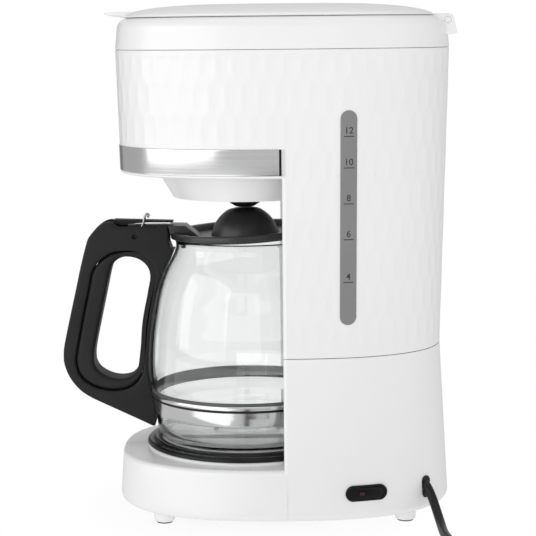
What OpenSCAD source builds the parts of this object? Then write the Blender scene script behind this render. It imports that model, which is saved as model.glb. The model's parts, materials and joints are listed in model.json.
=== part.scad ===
// Drip coffee maker with a glass jug. Millimetres, +Z up, the front faces -Y.
// The origin is under the middle of the whole outline, on the surface it stands on. Depths in this
// file are from a datum that lies datum_y behind the origin.

/* [Housing] */
// Height of the collar's top rim, where the lid lies
rim_z = 340; // [335:1:345]
// Height of the seam between the collar and the upper housing
collar_z = 319; // [315:1:322]
// Height of the underside of the brewing head
head_z = 236; // [234:1:240]
// Height of the seam between the base and the upper housing
seam_z = 117; // [90:1:140]
// Height of the deck that the warming plate sits in
deck_z = 42.5; // [41:0.5:43]
// Height of the housing's bottom edge above the table
skirt_z = 8; // [7:0.5:9]
// Half width of the housing at the collar seam
top_half_w = 86.5; // [85:0.5:90]
// Half depth of the housing at the collar seam
top_half_d = 113.8; // [113:0.1:115]
// Centre of the plan outline at the collar seam, from the datum
top_mid_y = 16; // [15.5:0.1:16.5]
// Roundness of the plan outline: 2 is an ellipse, more is squarer
plan_power = 2.5; // [2.4:0.1:2.8]
// Wall thickness of the housing mouldings
wall = 2.6; // [2:0.1:3]

/* [Jug bay] */
// Centre line of the jug, filter and plate, from the datum
jug_y = -10.8; // [-12:0.1:-9]
// Front edges of the tower's side arms
arm_y = 14.5; // [12:0.5:18]
// Radius of the hollow that the jug stands in
bay_r = 74; // [73:0.5:75]

/* [Band] */
// Lower edge of the band round the head
band_z = 238; // [237:0.5:242]
// Height of the band
band_h = 17; // [14:0.5:19]
// Where the band ends beside the tower
band_end_y = 10.8; // [8:0.1:11.5]

/* [Lid] */
// Half width of the lid
lid_half_w = 80.5; // [79:0.5:82]
// Half depth of the lid
lid_half_d = 105.8; // [105:0.1:106.5]
// Centre of the lid from the datum
lid_mid_y = 13.3; // [13:0.1:13.6]
// Rise of the lid's crown over the rim
lid_rise = 8.4; // [6:0.2:9]
// Hinge pin from the datum
hinge_y = 126.7; // [126.4:0.1:127]
// Height of the hinge pin
hinge_z = 337.1; // [336.8:0.1:337.4]

/* [Jug] */
// Widest radius of the glass
glass_r = 66.5; // [65:0.5:67]
// Wall thickness of the glass
glass_t = 1.8; // [1.5:0.1:2.4]
// Height of the jug's steel band
jug_band_z = 67.5; // [66:0.5:69]
// Width of the jug's steel band
jug_band_h = 15; // [12:0.5:16]
// Thickness of the handle across the jug
grip_w = 24; // [20:1:28]
// Height of the jug lid's pin
jug_pin_z = 190.8; // [190:0.1:191]
// Distance of the jug lid's pin from the datum, towards the back
jug_pin_y = -87.1; // [-88:0.1:-86]

/* [Gauge and switch] */
// Width of the level window
window_w = 11.3; // [9:0.1:13]
// Lower end of the level window
window_z0 = 139; // [130:1:150]
// Upper end of the level window
window_z1 = 280; // [270:1:290]
// Middle of the level window from the datum
window_y = 57.5; // [54:0.5:62]
// Length of the rocker switch
rocker_l = 28.8; // [26:0.1:30]
// Height of the rocker switch
rocker_h = 10.8; // [10:0.1:12]
// Middle of the rocker from the datum
rocker_y = 69; // [66:0.1:72]
// Height of the rocker's middle
rocker_z = 27.7; // [26:0.1:29]

/* [Cord] */
// Diameter of the mains cord
cord_d = 6.2; // [5.5:0.1:6.5]
// Where the cord leaves the housing, from the datum
cord_y = 110.4; // [109:0.1:111]
// Height at which the cord leaves the housing
cord_z = 24.2; // [24:0.1:25]

/* [Hidden] */
datum_y = 2.6;                // the drawing's datum, from the origin
gap = 0.3;                    // clearance between separate mouldings
ring_n = 64;                  // points round a lofted outline
$fn = 64;

// Outline levels of the lower housing: [height, half width, half depth, centre]
edge_r = 4.5;                 // rounding of the bottom edge
base_half_w = 85.5;
base_half_d = 114.9;
base_mid_y = 15.1;
seam_half_w = 80;
seam_half_d = 108.2;
function base_mix(z) = (z - skirt_z - edge_r) / (seam_z - skirt_z - edge_r);
function mix(a, b, t) = a + (b - a) * t;
function round_in(z) = z >= skirt_z + edge_r ? 0
    : edge_r - sqrt(pow(edge_r, 2) - pow(skirt_z + edge_r - max(z, skirt_z), 2));
function half_w(z) = z < seam_z
    ? mix(base_half_w, seam_half_w, max(0, base_mix(z))) - round_in(z)
    : mix(seam_half_w, top_half_w, (z - seam_z) / (collar_z - seam_z));
function half_d(z) = z < seam_z
    ? mix(base_half_d, seam_half_d, max(0, base_mix(z))) - round_in(z)
    : mix(seam_half_d, top_half_d, (z - seam_z) / (collar_z - seam_z));
function mid_y(z) = z < seam_z ? mix(base_mid_y, top_mid_y, max(0, base_mix(z))) : top_mid_y;

// A point on the outline at height z and angle t, moved in by inset
function power_step(v) = sign(v) * pow(abs(v), 2 / plan_power);
function plan_point(a, b, y, z, t) = [a * power_step(cos(t)), y + b * power_step(sin(t)), z];
function plan_ring(a, b, y, z) = [for (i = [0:ring_n - 1]) plan_point(a, b, y, z, 360 * i / ring_n)];
function wall_ring(z, inset) = plan_ring(half_w(z) - inset, half_d(z) - inset, mid_y(z), z);

// Where the +X wall is at a given depth and height, and the way that it faces
function wall_x(y, z) = half_w(z)
    * pow(1 - pow(abs(y - mid_y(z)) / half_d(z), plan_power), 1 / plan_power);
function wall_turn(y, z) = atan2(pow(abs(y - mid_y(z)), plan_power - 1) / pow(half_d(z), plan_power),
    pow(wall_x(y, z), plan_power - 1) / pow(half_w(z), plan_power));

// A closed skin over a list of rings that all have the same number of points
module skin(rings) {
    n = len(rings[0]);
    m = len(rings);
    polyhedron(
        points = [for (ring = rings) for (p = ring) p],
        faces = concat(
            [[for (j = [0:n - 1]) j]],
            [[for (j = [n - 1:-1:0]) (m - 1) * n + j]],
            [for (i = [0:m - 2]) for (j = [0:n - 1]) let (k = (j + 1) % n)
                [i * n + j, (i + 1) * n + j, (i + 1) * n + k]],
            [for (i = [0:m - 2]) for (j = [0:n - 1]) let (k = (j + 1) % n)
                [i * n + j, (i + 1) * n + k, i * n + k]]),
        convexity = 6);
}
module wall_loft(levels, inset) skin([for (z = levels) wall_ring(z, inset)]);

// A round wire or tube swept along points
function unit(v) = v / norm(v);
function path_dir(path, i) = unit(path[min(i + 1, len(path) - 1)] - path[max(i - 1, 0)]);
function tube_ring(c, dir, r, n) = let (side = unit(cross(dir, [0, 0, 1])), up = cross(side, dir))
    [for (j = [0:n - 1]) c + r * (cos(360 * j / n) * side - sin(360 * j / n) * up)];
module tube(path, r, n) skin([for (i = [0:len(path) - 1]) tube_ring(path[i], path_dir(path, i), r, n)]);
// Extra points on a smooth curve through the points of a route
function curve_at(a, b, c, d, t) = 0.5 * (2 * b + (c - a) * t + (2 * a - 5 * b + 4 * c - d) * t * t
    + (3 * b - a - 3 * c + d) * t * t * t);
function smooth(p, k) = concat([for (i = [0:len(p) - 2]) for (s = [0:k - 1])
    curve_at(p[max(i - 1, 0)], p[i], p[i + 1], p[min(i + 2, len(p) - 1)], s / k)], [p[len(p) - 1]]);

module at_jug() translate([0, jug_y, 0]) children();
// Everything behind the bay's face, moved back by grow
module tower_space(z0, z1, grow) difference() {
    translate([-120, arm_y + grow, z0]) cube([240, 200, z1 - z0]);
    at_jug() translate([0, 0, z0 - 1]) cylinder(r = bay_r + grow, h = z1 - z0 + 2, $fn = 96);
}
module slab(z0, z1) translate([-150, -200, z0]) cube([300, 400, z1 - z0]);
module at_origin() translate([0, datum_y, 0]) children();
// A flat stadium, lying along X, for windows and switches
module stadium(length, width) {
    square([length - width, width], center = true);
    for (s = [-1, 1]) translate([s * (length - width) / 2, 0]) circle(d = width, $fn = 32);
}
// Puts a shape on the +X wall: its X runs to the back, its Y up and its Z out
module on_wall(y, z) translate([wall_x(y, z), y, z]) rotate([0, 0, wall_turn(y, z)]) rotate([90, 0, 90])
    children();
module pipe(r, bore, h) difference() {
    cylinder(r = r, h = h);
    translate([0, 0, -1]) cylinder(r = bore, h = h + 2);
}

white = [0.93, 0.93, 0.92];
black = [0.16, 0.16, 0.17];
steel = [0.78, 0.78, 0.8];
silicone = [0.82, 0.8, 0.76];

// ---- base ----
base_levels = [skirt_z, skirt_z + 0.6, skirt_z + 2, skirt_z + edge_r, seam_z];
plate_hole_r = 66;
cord_slot_h = 15.6;
cord_slot_w = 8.2;
window_turn_z = (window_z0 + window_z1) / 2;
window_l = window_z1 - window_z0;
screw_xy = [[-54, -44], [54, -44], [-50, 86], [50, 86]];
boss_z = 11;

module base_housing() color(white) difference() {
    intersection() {
        wall_loft(base_levels, 0);
        union() {
            slab(0, deck_z);
            tower_space(deck_z - 1, seam_z, 0);
        }
    }
    difference() {
        skin([for (z = [skirt_z - 1, skirt_z + edge_r, seam_z + 1])
            wall_ring(max(z, skirt_z + edge_r), wall) + [for (i = [1:ring_n])
                [0, 0, z - max(z, skirt_z + edge_r)]]]);
        difference() {
            slab(deck_z - wall, seam_z + 2);
            tower_space(deck_z - wall - 1, seam_z + 3, wall);
        }
        for (p = screw_xy) translate([p[0], p[1], boss_z]) {
            pipe(4.2, 1.6, deck_z - boss_z - wall + 0.5);
            translate([sign(p[0]) * 17 - 13.5, -1, 6]) cube([27, 2, deck_z - boss_z - wall - 5.5]);
        }
    }
    at_jug() translate([0, 0, deck_z - 10]) cylinder(r = plate_hole_r, h = 20, $fn = 96);
    on_wall(rocker_y, rocker_z) translate([0, 0, -8]) linear_extrude(16)
        stadium(rocker_l + 0.5, rocker_h + 0.5);
    on_wall(cord_y, cord_z) rotate([0, 0, 90]) translate([0, 0, -8]) linear_extrude(16)
        stadium(cord_slot_h, cord_slot_w);
}

module bottom_cover() color(white) difference() {
    skin([for (z = [skirt_z + 0.3, skirt_z + 2.6])
        plan_ring(base_half_w - wall - 2.8, base_half_d - wall - 2.8, base_mid_y, z)]);
    for (p = screw_xy) translate([p[0], p[1], 0]) cylinder(r = 2, h = 30);
    for (i = [-4:4], s = [-1, 1]) translate([i * 8 - 1.5, s * 24 + 20, 0]) cube([3, 30, 30]);
    for (p = foot_xy) translate([p[0], p[1], 0]) cylinder(r = 4.2, h = 30);
}
foot_xy = [[-52, -67], [52, -67], [-52, 97], [52, 97]];
foot_r = 7;
pad_h = 1;
module feet() color(white) for (p = foot_xy) translate([p[0], p[1], pad_h]) {
    rotate_extrude() polygon([[0, 0], [foot_r - 1, 0], [foot_r - 0.3, 0.4], [foot_r, 1.1],
        [foot_r, skirt_z - pad_h + 0.1], [4, skirt_z - pad_h + 0.1], [4, skirt_z - pad_h + 3.4],
        [0, skirt_z - pad_h + 3.4]]);
}
module foot_pads() color([0.25, 0.25, 0.25]) for (p = foot_xy) translate([p[0], p[1], 0])
    cylinder(r = foot_r - 1.6, h = pad_h - 0.05);
module base_screws() color(steel) for (p = screw_xy) translate([p[0], p[1], 0]) {
    translate([0, 0, skirt_z - 1.9]) cylinder(r = 3.4, h = 2.1);
    translate([0, 0, skirt_z + 0.1]) cylinder(r = 1.5, h = 14);
}

// ---- upper housing ----
upper_levels = [seam_z, 150, 190, 230, 275, collar_z];
chamber_hole_r = 62.2;
groove = 1;
module upper_housing() color(white) difference() {
    intersection() {
        skin([for (z = upper_levels) [for (p = wall_ring(max(z, seam_z), 0))
            [p[0], p[1], z == seam_z ? z + 0.15 : z]]]);
        union() {
            slab(head_z, collar_z);
            tower_space(seam_z, head_z + 1, 0);
        }
    }
    difference() {
        skin([for (z = [seam_z, 190, collar_z])
            [for (p = wall_ring(z, wall)) [p[0], p[1], z == 190 ? z : z == seam_z ? z - 1 : z + 1]]]);
        difference() {
            slab(seam_z - 2, head_z + wall);
            tower_space(seam_z - 3, head_z + wall + 1, wall);
        }
    }
    at_jug() translate([0, 0, head_z - 5]) cylinder(r = chamber_hole_r, h = 20, $fn = 96);
    // seat of the band
    difference() {
        translate([-120, -200, band_z - 0.2]) cube([240, 200 + band_end_y + 2.8, band_h + 0.4]);
        wall_loft([band_z - 3, band_z + band_h + 3], groove);
    }
    window_place() translate([0, 0, -8]) linear_extrude(12) stadium(window_l, window_w);
    window_place() translate([0, 0, -8]) linear_extrude(5.2)
        stadium(window_l + 4.6, window_w + 4.6);
}
draft = atan2(half_w(collar_z) - half_w(seam_z), collar_z - seam_z);
module window_place() translate([wall_x(window_y, window_turn_z), window_y, window_turn_z])
    rotate([0, 0, wall_turn(window_y, window_turn_z)]) rotate([0, draft, 0]) rotate([90, 0, 90])
    rotate([0, 0, 90]) children();
module level_window() color([0.5, 0.5, 0.5]) window_place() {
    translate([0, 0, -2.9]) linear_extrude(3.5) stadium(window_l - gap, window_w - gap);
    translate([0, 0, -4.6]) linear_extrude(1.7) stadium(window_l + 4, window_w + 4);
}

module head_band() color(steel) difference() {
    wall_loft([band_z, band_z + band_h], -0.5);
    wall_loft([band_z - 2, band_z + band_h + 2], 0.7);
    translate([-120, band_end_y, 0]) cube([240, 300, 400]);
}
module band_trims() color(black) difference() {
    intersection() {
        wall_loft([band_z, band_z + band_h], -0.1);
        translate([-120, band_end_y + 0.1, 0]) cube([240, 2.5, 400]);
    }
    wall_loft([band_z - 2, band_z + band_h + 2], 0.7);
}

// ---- collar ----
collar_round = 5.6;
function collar_ring(z, inset) = let (grow = 0.6 * min(1, (z - collar_z) / 12))
    plan_ring(top_half_w + grow - inset, top_half_d + grow - inset, top_mid_y, z);
collar_outer = concat([collar_ring(collar_z + 0.15, 0), collar_ring(collar_z + 12, 0)],
    [for (a = [0:22.5:90]) collar_ring(rim_z - collar_round * (1 - sin(a)), collar_round * (1 - cos(a)))]);
open_in = 5;                  // how far the mouth lies inside the lid's edge
function mouth_ring(z, grow) =
    plan_ring(lid_half_w - open_in + grow, lid_half_d - open_in + grow, lid_mid_y, z);
ear_x = 24;
ear_w = 6;
module collar() color(white) {
    difference() {
        union() {
            difference() {
                skin(collar_outer);
                skin([mouth_ring(collar_z - 1, 0), mouth_ring(rim_z + 1, 0)]);
                difference() {
                    skin([for (z = [collar_z - 1, rim_z - 5.5]) [for (p = collar_ring(collar_z + 9, wall))
                        [p[0], p[1], z]]]);
                    skin([mouth_ring(collar_z - 2, wall), mouth_ring(rim_z + 2, wall)]);
                }
            }
            for (s = [-1, 1]) translate([s * ear_x - (s < 0 ? ear_w : 0), 0, 0]) hinge_ear();
        }
        translate([-ear_x, hinge_y - 12.2, hinge_z - 7]) cube([2 * ear_x, 30, 20]);
        translate([-40, hinge_y, hinge_z]) rotate([0, 90, 0]) cylinder(r = pin_r, h = 80, $fn = 24);
    }
}
pin_r = 1.9;
// One ear of the hinge: a block with a sloping back
module hinge_ear() rotate([90, 0, 90]) linear_extrude(ear_w)
    polygon([[116, 326.6], [124, 327.2], [132.2, 327.9], [133, 328.7], [131.4, 336], [130.4, 339.6],
        [129, 341], [119, 341.2], [117.6, 340.4], [116, 336]]);
module lid_hinge_pin() color(steel) translate([-ear_x - ear_w + 0.5, hinge_y, hinge_z]) rotate([0, 90, 0])
    cylinder(r = pin_r, h = 2 * (ear_x + ear_w) - 1, $fn = 24);

// ---- lid ----
function lid_ring(z, inset) = plan_ring(lid_half_w - inset, lid_half_d - inset * 1.1, lid_mid_y, z);
// The crown: height over the rim as a share of the rise, for a share of the way in from the edge
crown = [[0, 0.02], [0.008, 0.12], [0.03, 0.24], [0.1, 0.46], [0.25, 0.72], [0.5, 0.92], [0.8, 1]];
lip_w = 46;
module brew_lid() color(white) difference() {
    union() {
        skin(concat([lid_ring(rim_z + 0.25, 1.2)],
            [for (c = crown) lid_ring(rim_z + 0.8 + lid_rise * c[1], lid_half_w * c[0])]));
        difference() {
            skin([mouth_ring(rim_z - 7.5, -1), mouth_ring(rim_z + 1, -1)]);
            skin([mouth_ring(rim_z - 8.5, -3), mouth_ring(rim_z + 0.2, -3)]);
        }
        translate([-lip_w / 2, 0, 0]) rotate([90, 0, 90]) linear_extrude(lip_w)
            polygon([[-84, rim_z + 0.4], [-93, rim_z + 0.6], [-103.6, rim_z + 2.5], [-104.2, rim_z + 3.1],
                [-102, rim_z + 3.9], [-94, rim_z + 4.2], [-84, rim_z + 4]]);
        translate([-ear_x + 0.4, hinge_y, hinge_z]) rotate([0, 90, 0]) cylinder(r = 4.4, h = 2 * ear_x - 0.8);
        translate([-ear_x + 0.4, 115, rim_z - 1.8]) cube([2 * ear_x - 0.8, hinge_y - 115, 3]);
    }
    // hollow under the crown
    skin([mouth_ring(rim_z - 1, -3.2), mouth_ring(rim_z + 0.6, -3.2), lid_ring(rim_z + 2.6, 14),
        lid_ring(rim_z + 4.6, 26), lid_ring(rim_z + 6, 46)]);
    translate([-40, hinge_y, hinge_z]) rotate([0, 90, 0]) cylinder(r = pin_r + 0.06, h = 80, $fn = 24);
}
spray_z = 322;
spray_r = 40;
module spray_head() color(white) at_jug() difference() {
    union() {
        translate([0, 0, spray_z]) cylinder(r1 = spray_r - 2, r2 = spray_r, h = 3);
        difference() {
            translate([0, 0, spray_z + 3]) cylinder(r = spray_r, h = 6.6);
            translate([0, 0, spray_z + 2.9]) cylinder(r = spray_r - 1.8, h = 8);
        }
        for (a = [0:90:270]) rotate(a) translate([22, -3, spray_z + 3]) cube([6, 6, rim_z + 2.4 - spray_z - 3]);
    }
    for (ring = [1:3], i = [0:ring * 6 - 1]) rotate(i * 60 / ring) translate([ring * 10, 0, spray_z - 1])
        cylinder(r = 1.3, h = 6, $fn = 6);
}
duct_w = 13;
duct_z = 333.2;
module water_channel() color(white) difference() {
    translate([-20 - duct_w / 2, jug_y + 4, duct_z]) cube([duct_w, 84, 7.4]);
    translate([-20 - duct_w / 2 + 1.5, jug_y + 2, duct_z + 1.5]) cube([duct_w - 3, 84, 4.4]);
    translate([-20, riser_xy[1], duct_z - 1]) cylinder(r = 4.5, h = 4);
}

// ---- filter ----
chamber_outer = [[12.4, 218], [49.3, 218], [55.6, 228.6], [60, 236], [61.6, 242], [65.6, 304], [65.6, 312]];
chamber_inner = [[63.4, 312.1], [63.4, 305.4], [59.6, 305.4], [58, 240], [53.4, 230.2], [47.4, 220.2],
    [12.4, 220.2]];
module filter_chamber() color(white) {
    at_jug() rotate_extrude($fn = 96) polygon(concat(chamber_outer, chamber_inner));
    difference() {
        skin([for (z = [309.6, 311.6]) wall_ring(z, wall + 0.4)]);
        at_jug() cylinder(r = 64.5, h = 400, $fn = 96);
        translate([-150, 27, 0]) cube([300, 300, 400]);
    }
}
module filter_basket() color(black) at_jug() {
    rotate_extrude($fn = 96) polygon([[6.5, 221], [45.8, 221], [52.2, 231], [56.6, 241], [58.6, 305.7],
        [62.8, 305.7], [62.8, 308], [57, 308], [55, 241.6], [50.6, 232], [44.6, 223], [6.5, 223]]);
    difference() {
        for (a = [7.5:15:352.5]) rotate(a) translate([38, -0.7, 222.8]) cube([17, 1.4, 66]);
        difference() {
            cylinder(r = 80, h = 400);
            translate([0, 0, 222]) cylinder(r1 = 44.2, r2 = 56.2, h = 68);
        }
        translate([0, 0, 231]) cylinder(r1 = 46, r2 = 53.8, h = 60);
        translate([0, 0, 222]) cylinder(r = 41, h = 9.1);
    }
    for (s = [-1, 1]) translate([s * 60.5 - 2, -9, 307.9]) cube([4, 18, 7]);
}
valve_z = 211.4;
module drip_valve() color(black) at_jug() rotate_extrude() polygon([[0, valve_z + 0.5], [4, valve_z],
    [6.4, valve_z + 0.2], [7.3, valve_z + 1], [10.9, 217.4], [10.5, 218.2], [5.9, 218.2], [5.9, 228.4],
    [8.4, 228.4], [8.4, 230.4], [2, 231.2], [0, 231.2]]);
module valve_seal() color(silicone) at_jug() translate([0, 0, 227.3]) pipe(8.6, 5.95, 1.05);
spring_turns = 2;
module valve_spring() color(steel) at_jug() tube([for (i = [0:spring_turns * 16]) let (a = i * 22.5)
    [8.2 * cos(a), 8.2 * sin(a), 218.8 + 1.8 * i / (spring_turns * 16)]], 0.38, 6);

// ---- water ----
water_z = 33.8;               // height of the water line under the deck
water_x = 19;                 // the line's two sides, from the middle
tank_z0 = 125;
tank_z1 = 312;
tank_front = 30;
riser_xy = [-19, 72.4];
module tank_space(z0, z1, inset) difference() {
    skin([for (z = [z0, z1]) wall_ring(z, wall + 5 + inset)]);
    translate([-150, -250, 0]) cube([300, 250 + tank_front + inset, 400]);
    at_jug() cylinder(r = bay_r + wall + 2.4 + inset, h = 400, $fn = 96);
    translate([riser_xy[0], riser_xy[1], 0]) cylinder(r = 7 + inset, h = 400);
}
module reservoir() color([0.9, 0.9, 0.9]) difference() {
    union() {
        tank_space(tank_z0, tank_z1, 0);
        translate([water_x, 104, tank_z0 - 9]) cylinder(r = 5, h = 10);
    }
    tank_space(tank_z0 + 2, tank_z1 + 1, 2);
    translate([water_x, 104, tank_z0 - 10]) cylinder(r = 3.2, h = 20);
}
module check_valve() color(steel) translate([water_x, 104, tank_z0 - 27]) difference() {
    union() {
        cylinder(r = 6.4, h = 10);
        translate([0, 0, 9]) cylinder(r = 3.1, h = 17);
        translate([0, 0, -7]) cylinder(r = 3.1, h = 8);
    }
    translate([0, 0, -8]) cylinder(r = 1.8, h = 40);
}
riser_z0 = water_z + 14.4;
module riser_tube() color(silicone) translate([riser_xy[0], riser_xy[1], riser_z0])
    pipe(4.2, 2.8, duct_z - riser_z0 - 0.6);
// Hoses are bends and straights with a true bore
module bend(r, tube_r, turn) rotate_extrude(angle = turn) translate([r, 0])
    difference() { circle(r = tube_r, $fn = 24); circle(r = tube_r - 1.8, $fn = 24); }
hose_r = 4.9;
module cold_hose() color(silicone) {
    translate([water_x, 104, water_z + 16]) pipe(hose_r, 3.15, tank_z0 - 27.4 - water_z - 16);
    translate([water_x, 88, water_z + 16]) rotate([90, 0, 90]) bend(16, hose_r, -90);
    translate([water_x, 88, water_z]) rotate([90, 0, 0]) pipe(hose_r, 3.15, 43);
}
module hot_hose() color(silicone) {
    translate([riser_xy[0], riser_xy[1], water_z + 12]) pipe(hose_r, 4.25, 14);
    translate([riser_xy[0], riser_xy[1] - 12, water_z + 12]) rotate([90, 0, 90]) bend(12, hose_r, -90);
    translate([riser_xy[0], riser_xy[1] - 12, water_z]) rotate([90, 0, 0]) pipe(hose_r, 3.15, 15.4);
}
module hose_clips() color(steel) {
    translate([water_x, 104, tank_z0 - 32]) pipe(hose_r + 0.8, hose_r + 0.05, 4);
    for (s = [-1, 1]) translate([s * water_x, 51, water_z]) rotate([90, 0, 0])
        pipe(hose_r + 0.8, hose_r + 0.05, 4);
}

// ---- heater and plate ----
plate_z = 49.6;
heater_r = 38;
module warming_plate() color([0.2, 0.2, 0.2]) at_jug() rotate_extrude($fn = 96) polygon([[0, plate_z - 1.2],
    [50, plate_z - 1.2], [51.5, plate_z - 1.8], [58.6, plate_z - 1.8], [59.2, plate_z - 5],
    [60.4, plate_z - 5], [60.2, plate_z - 0.8], [59.4, plate_z - 0.2], [52, plate_z - 0.2],
    [50, plate_z], [0, plate_z]]);
module plate_ring() color(black) at_jug() rotate_extrude($fn = 96) polygon([[60.8, 41], [65.6, 41],
    [65.6, deck_z + 0.2], [70.2, deck_z + 0.2], [70.4, 45.6], [69.6, 46.8], [68, 47], [66.8, 46.4],
    [66.2, 47.2], [65.6, 49.3], [64.4, 49.8], [63, 49.6], [62.4, 48.6], [61.6, 49.6], [60.9, 49.4]]);
// A C-shaped casting: the water tube runs under the plate beside the sheathed element
module heater() color([0.66, 0.67, 0.68]) at_jug() translate([0, 0, water_z]) difference() {
    union() {
        rotate(120) rotate_extrude(angle = 300) {
            translate([heater_r, 0]) circle(r = 5.2);
            translate([heater_r - 10, 4]) circle(r = 4.6);
            translate([heater_r - 12, 3]) square([15, 11.4]);
        }
        for (s = [-1, 1]) translate([s * water_x, 29, 0]) rotate([-90, 0, 0]) cylinder(r = 3.1, h = 31);
    }
    for (s = [-1, 1]) translate([s * water_x, 26, 0]) rotate([-90, 0, 0]) cylinder(r = 2, h = 40);
}
module element_ends() color(steel) at_jug() for (s = [-1, 1])
    translate([s * 12.6, 26, water_z + 4]) rotate([-90, 0, 0]) cylinder(r = 1.6, h = 13);
module heater_bracket() color(steel) at_jug() difference() {
    union() {
        translate([-52, -7, 24.5]) cube([104, 14, 1.6]);
        for (s = [-1, 1]) translate([s * 51 - 1, -7, 24.5]) cube([2, 14, 23]);
    }
    for (s = [-1, 1]) translate([s * 24, 0, 20]) cylinder(r = 2, h = 10);
}
module thermostat() color([0.75, 0.73, 0.7]) at_jug() {
    translate([0, 0, 26.2]) cylinder(r = 3, h = 14);
    translate([0, 0, 39.8]) cylinder(r = 8, h = 8.4);
    translate([-3, -13, 41]) cube([6, 26, 1]);
}
module thermal_fuse() color([0.85, 0.84, 0.8]) translate([30, 40, 22]) rotate([0, 90, 25]) {
    cylinder(r = 3, h = 16, center = true);
    cylinder(r = 0.7, h = 30, center = true, $fn = 24);
}

// ---- switch ----
rocker_tilt = 6;
module switch_frame() color(black) on_wall(rocker_y, rocker_z) difference() {
    union() {
        translate([0, 0, -12]) linear_extrude(12.7) stadium(rocker_l, rocker_h);
        translate([0, 0, -6]) linear_extrude(2) stadium(rocker_l + 3.4, rocker_h + 3.4);
    }
    translate([0, 0, -8]) linear_extrude(12) stadium(rocker_l - 3.2, rocker_h - 2.6);
    translate([0, 12, -3]) rotate([90, 0, 0]) cylinder(r = 1.2, h = 24, $fn = 24);
}
// The rocker stands tilted at rest, with its rear end out
module rocker_switch() color([0.12, 0.12, 0.12]) on_wall(rocker_y, rocker_z)
    translate([0, 0, -3]) rotate([0, -rocker_tilt, 0]) translate([0, 0, 3]) difference() {
        intersection() {
            translate([0, 0, -4]) linear_extrude(8) stadium(rocker_l - 4.4, rocker_h - 3.6);
            translate([0, 12, -30.4]) rotate([90, 0, 0]) cylinder(r = 32.6, h = 24, $fn = 96);
        }
        translate([0, 12, -3]) rotate([90, 0, 0]) cylinder(r = 1.26, h = 24, $fn = 24);
    }
module rocker_pin() color(steel) on_wall(rocker_y, rocker_z) translate([0, rocker_h / 2 - 1, -3])
    rotate([90, 0, 0]) cylinder(r = 1.19, h = rocker_h - 2, $fn = 24);

// ---- jug ----
glass_outer = [[0, 50.9], [20, 50.9], [23, 50.2], [27, 50], [56.5, 50], [59.5, 50.6], [61.8, 52.4],
    [62.8, 55.5], [63.3, 62], [64, 70], [65.2, 80], [66.2, 88], [glass_r, 95], [66.4, 104], [65.7, 114],
    [64.6, 124], [63, 134], [61.2, 144], [58.9, 154], [56.6, 161], [54, 167.5], [51.4, 173],
    [49.2, 178.5], [48.2, 183], [48.4, 186.4], [49.4, 188.6]];
module carafe_glass() color([0.85, 0.9, 0.92, 0.4]) at_jug() rotate_extrude($fn = 96) polygon(concat(
    glass_outer, [for (i = [len(glass_outer) - 1:-1:4]) glass_outer[i] + [-glass_t, i < 9 ? glass_t * 0.8 : 0]],
    [[0, 52.8]]));
module carafe_band() color(steel) {
    at_jug() rotate_extrude($fn = 96) polygon([[64.3, jug_band_z], [65.1, jug_band_z],
        [66.7, jug_band_z + jug_band_h - 2.2], [67.4, jug_band_z + jug_band_h - 1.2],
        [66.9, jug_band_z + jug_band_h], [65.7, jug_band_z + jug_band_h - 1]]);
    difference() {
        for (s = [-1, 1]) translate([s * 2.6 - 0.6, -86.6, jug_band_z + 0.5]) cube([1.2, 9.5, jug_band_h - 3]);
        translate([-10, -82, band_screw_z]) rotate([0, 90, 0]) cylinder(r = 1.8, h = 20, $fn = 24);
    }
}
band_screw_z = jug_band_z + jug_band_h / 2;
module band_screw() color(steel) translate([0, -82, band_screw_z]) rotate([0, 90, 0]) {
    translate([0, 0, -9]) cylinder(r = 1.6, h = 16);
    translate([0, 0, -11]) cylinder(r = 3, h = 2);
}

// The handle's side outline, from the hinge end round the grip to the clamp end and back up the glass
grip_outer = [[-104, 200.6], [-108, 200.4], [-112.5, 199.2], [-116, 196.4], [-118.8, 192.2], [-120.6, 187.6],
    [-124.6, 171], [-128.3, 155], [-132.2, 138.4], [-136.1, 121.5], [-137.8, 113], [-138.2, 107.4],
    [-138, 103], [-136.8, 98.2], [-134.4, 92.6], [-131.1, 87.6], [-126.1, 82.2], [-120.5, 78.4],
    [-115, 75.5], [-103.9, 70.2], [-92.8, 64.9], [-81.7, 59.6], [-76.8, 57.2], [-75, 57.6]];
// The jug side of the handle stands off the glass, and further off where the steel band passes
function beside_band(z) = z > jug_band_z - 2 && z < jug_band_z + jug_band_h + 2;
grip_inner = [for (p = glass_outer) if (p[1] > 60 && p[1] < 186)
    [jug_y - p[0] - (beside_band(p[1]) ? 3.2 : 0.6), p[1]]];
// The top corner turns about the lid's pin, with the lid's plate just outside it
knuckle_r = 23.9;
function about_pin(r, turn) = [jug_pin_y + r * cos(turn), jug_pin_z + r * sin(turn)];
grip_top = concat([[jug_y - 52.6, 186.6]], [for (a = [0:6:24]) about_pin(knuckle_r, a)], [[-68, 200.6]]);
grip_hole = [[-101.6, 172.8], [-98.6, 175.2], [-95, 176.6], [-91.4, 177], [-87.6, 176.7], [-84, 175.2],
    [-80.6, 172.2], [-78, 168], [-77.3, 163], [-79.4, 155], [-81.4, 146.5], [-83, 138], [-84.4, 129],
    [-85, 120], [-85.3, 111], [-85.5, 104], [-86.2, 99.4], [-88, 95.4], [-91, 92.4], [-95.4, 91],
    [-100.4, 90.8], [-105.2, 91.8], [-109.8, 93.8], [-113.8, 96.8], [-116.4, 101], [-117, 106],
    [-116.4, 112], [-114.6, 121], [-112.6, 130], [-110.6, 139], [-108.6, 148], [-106.4, 158],
    [-104.6, 166], [-103.2, 170.2]];
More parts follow.
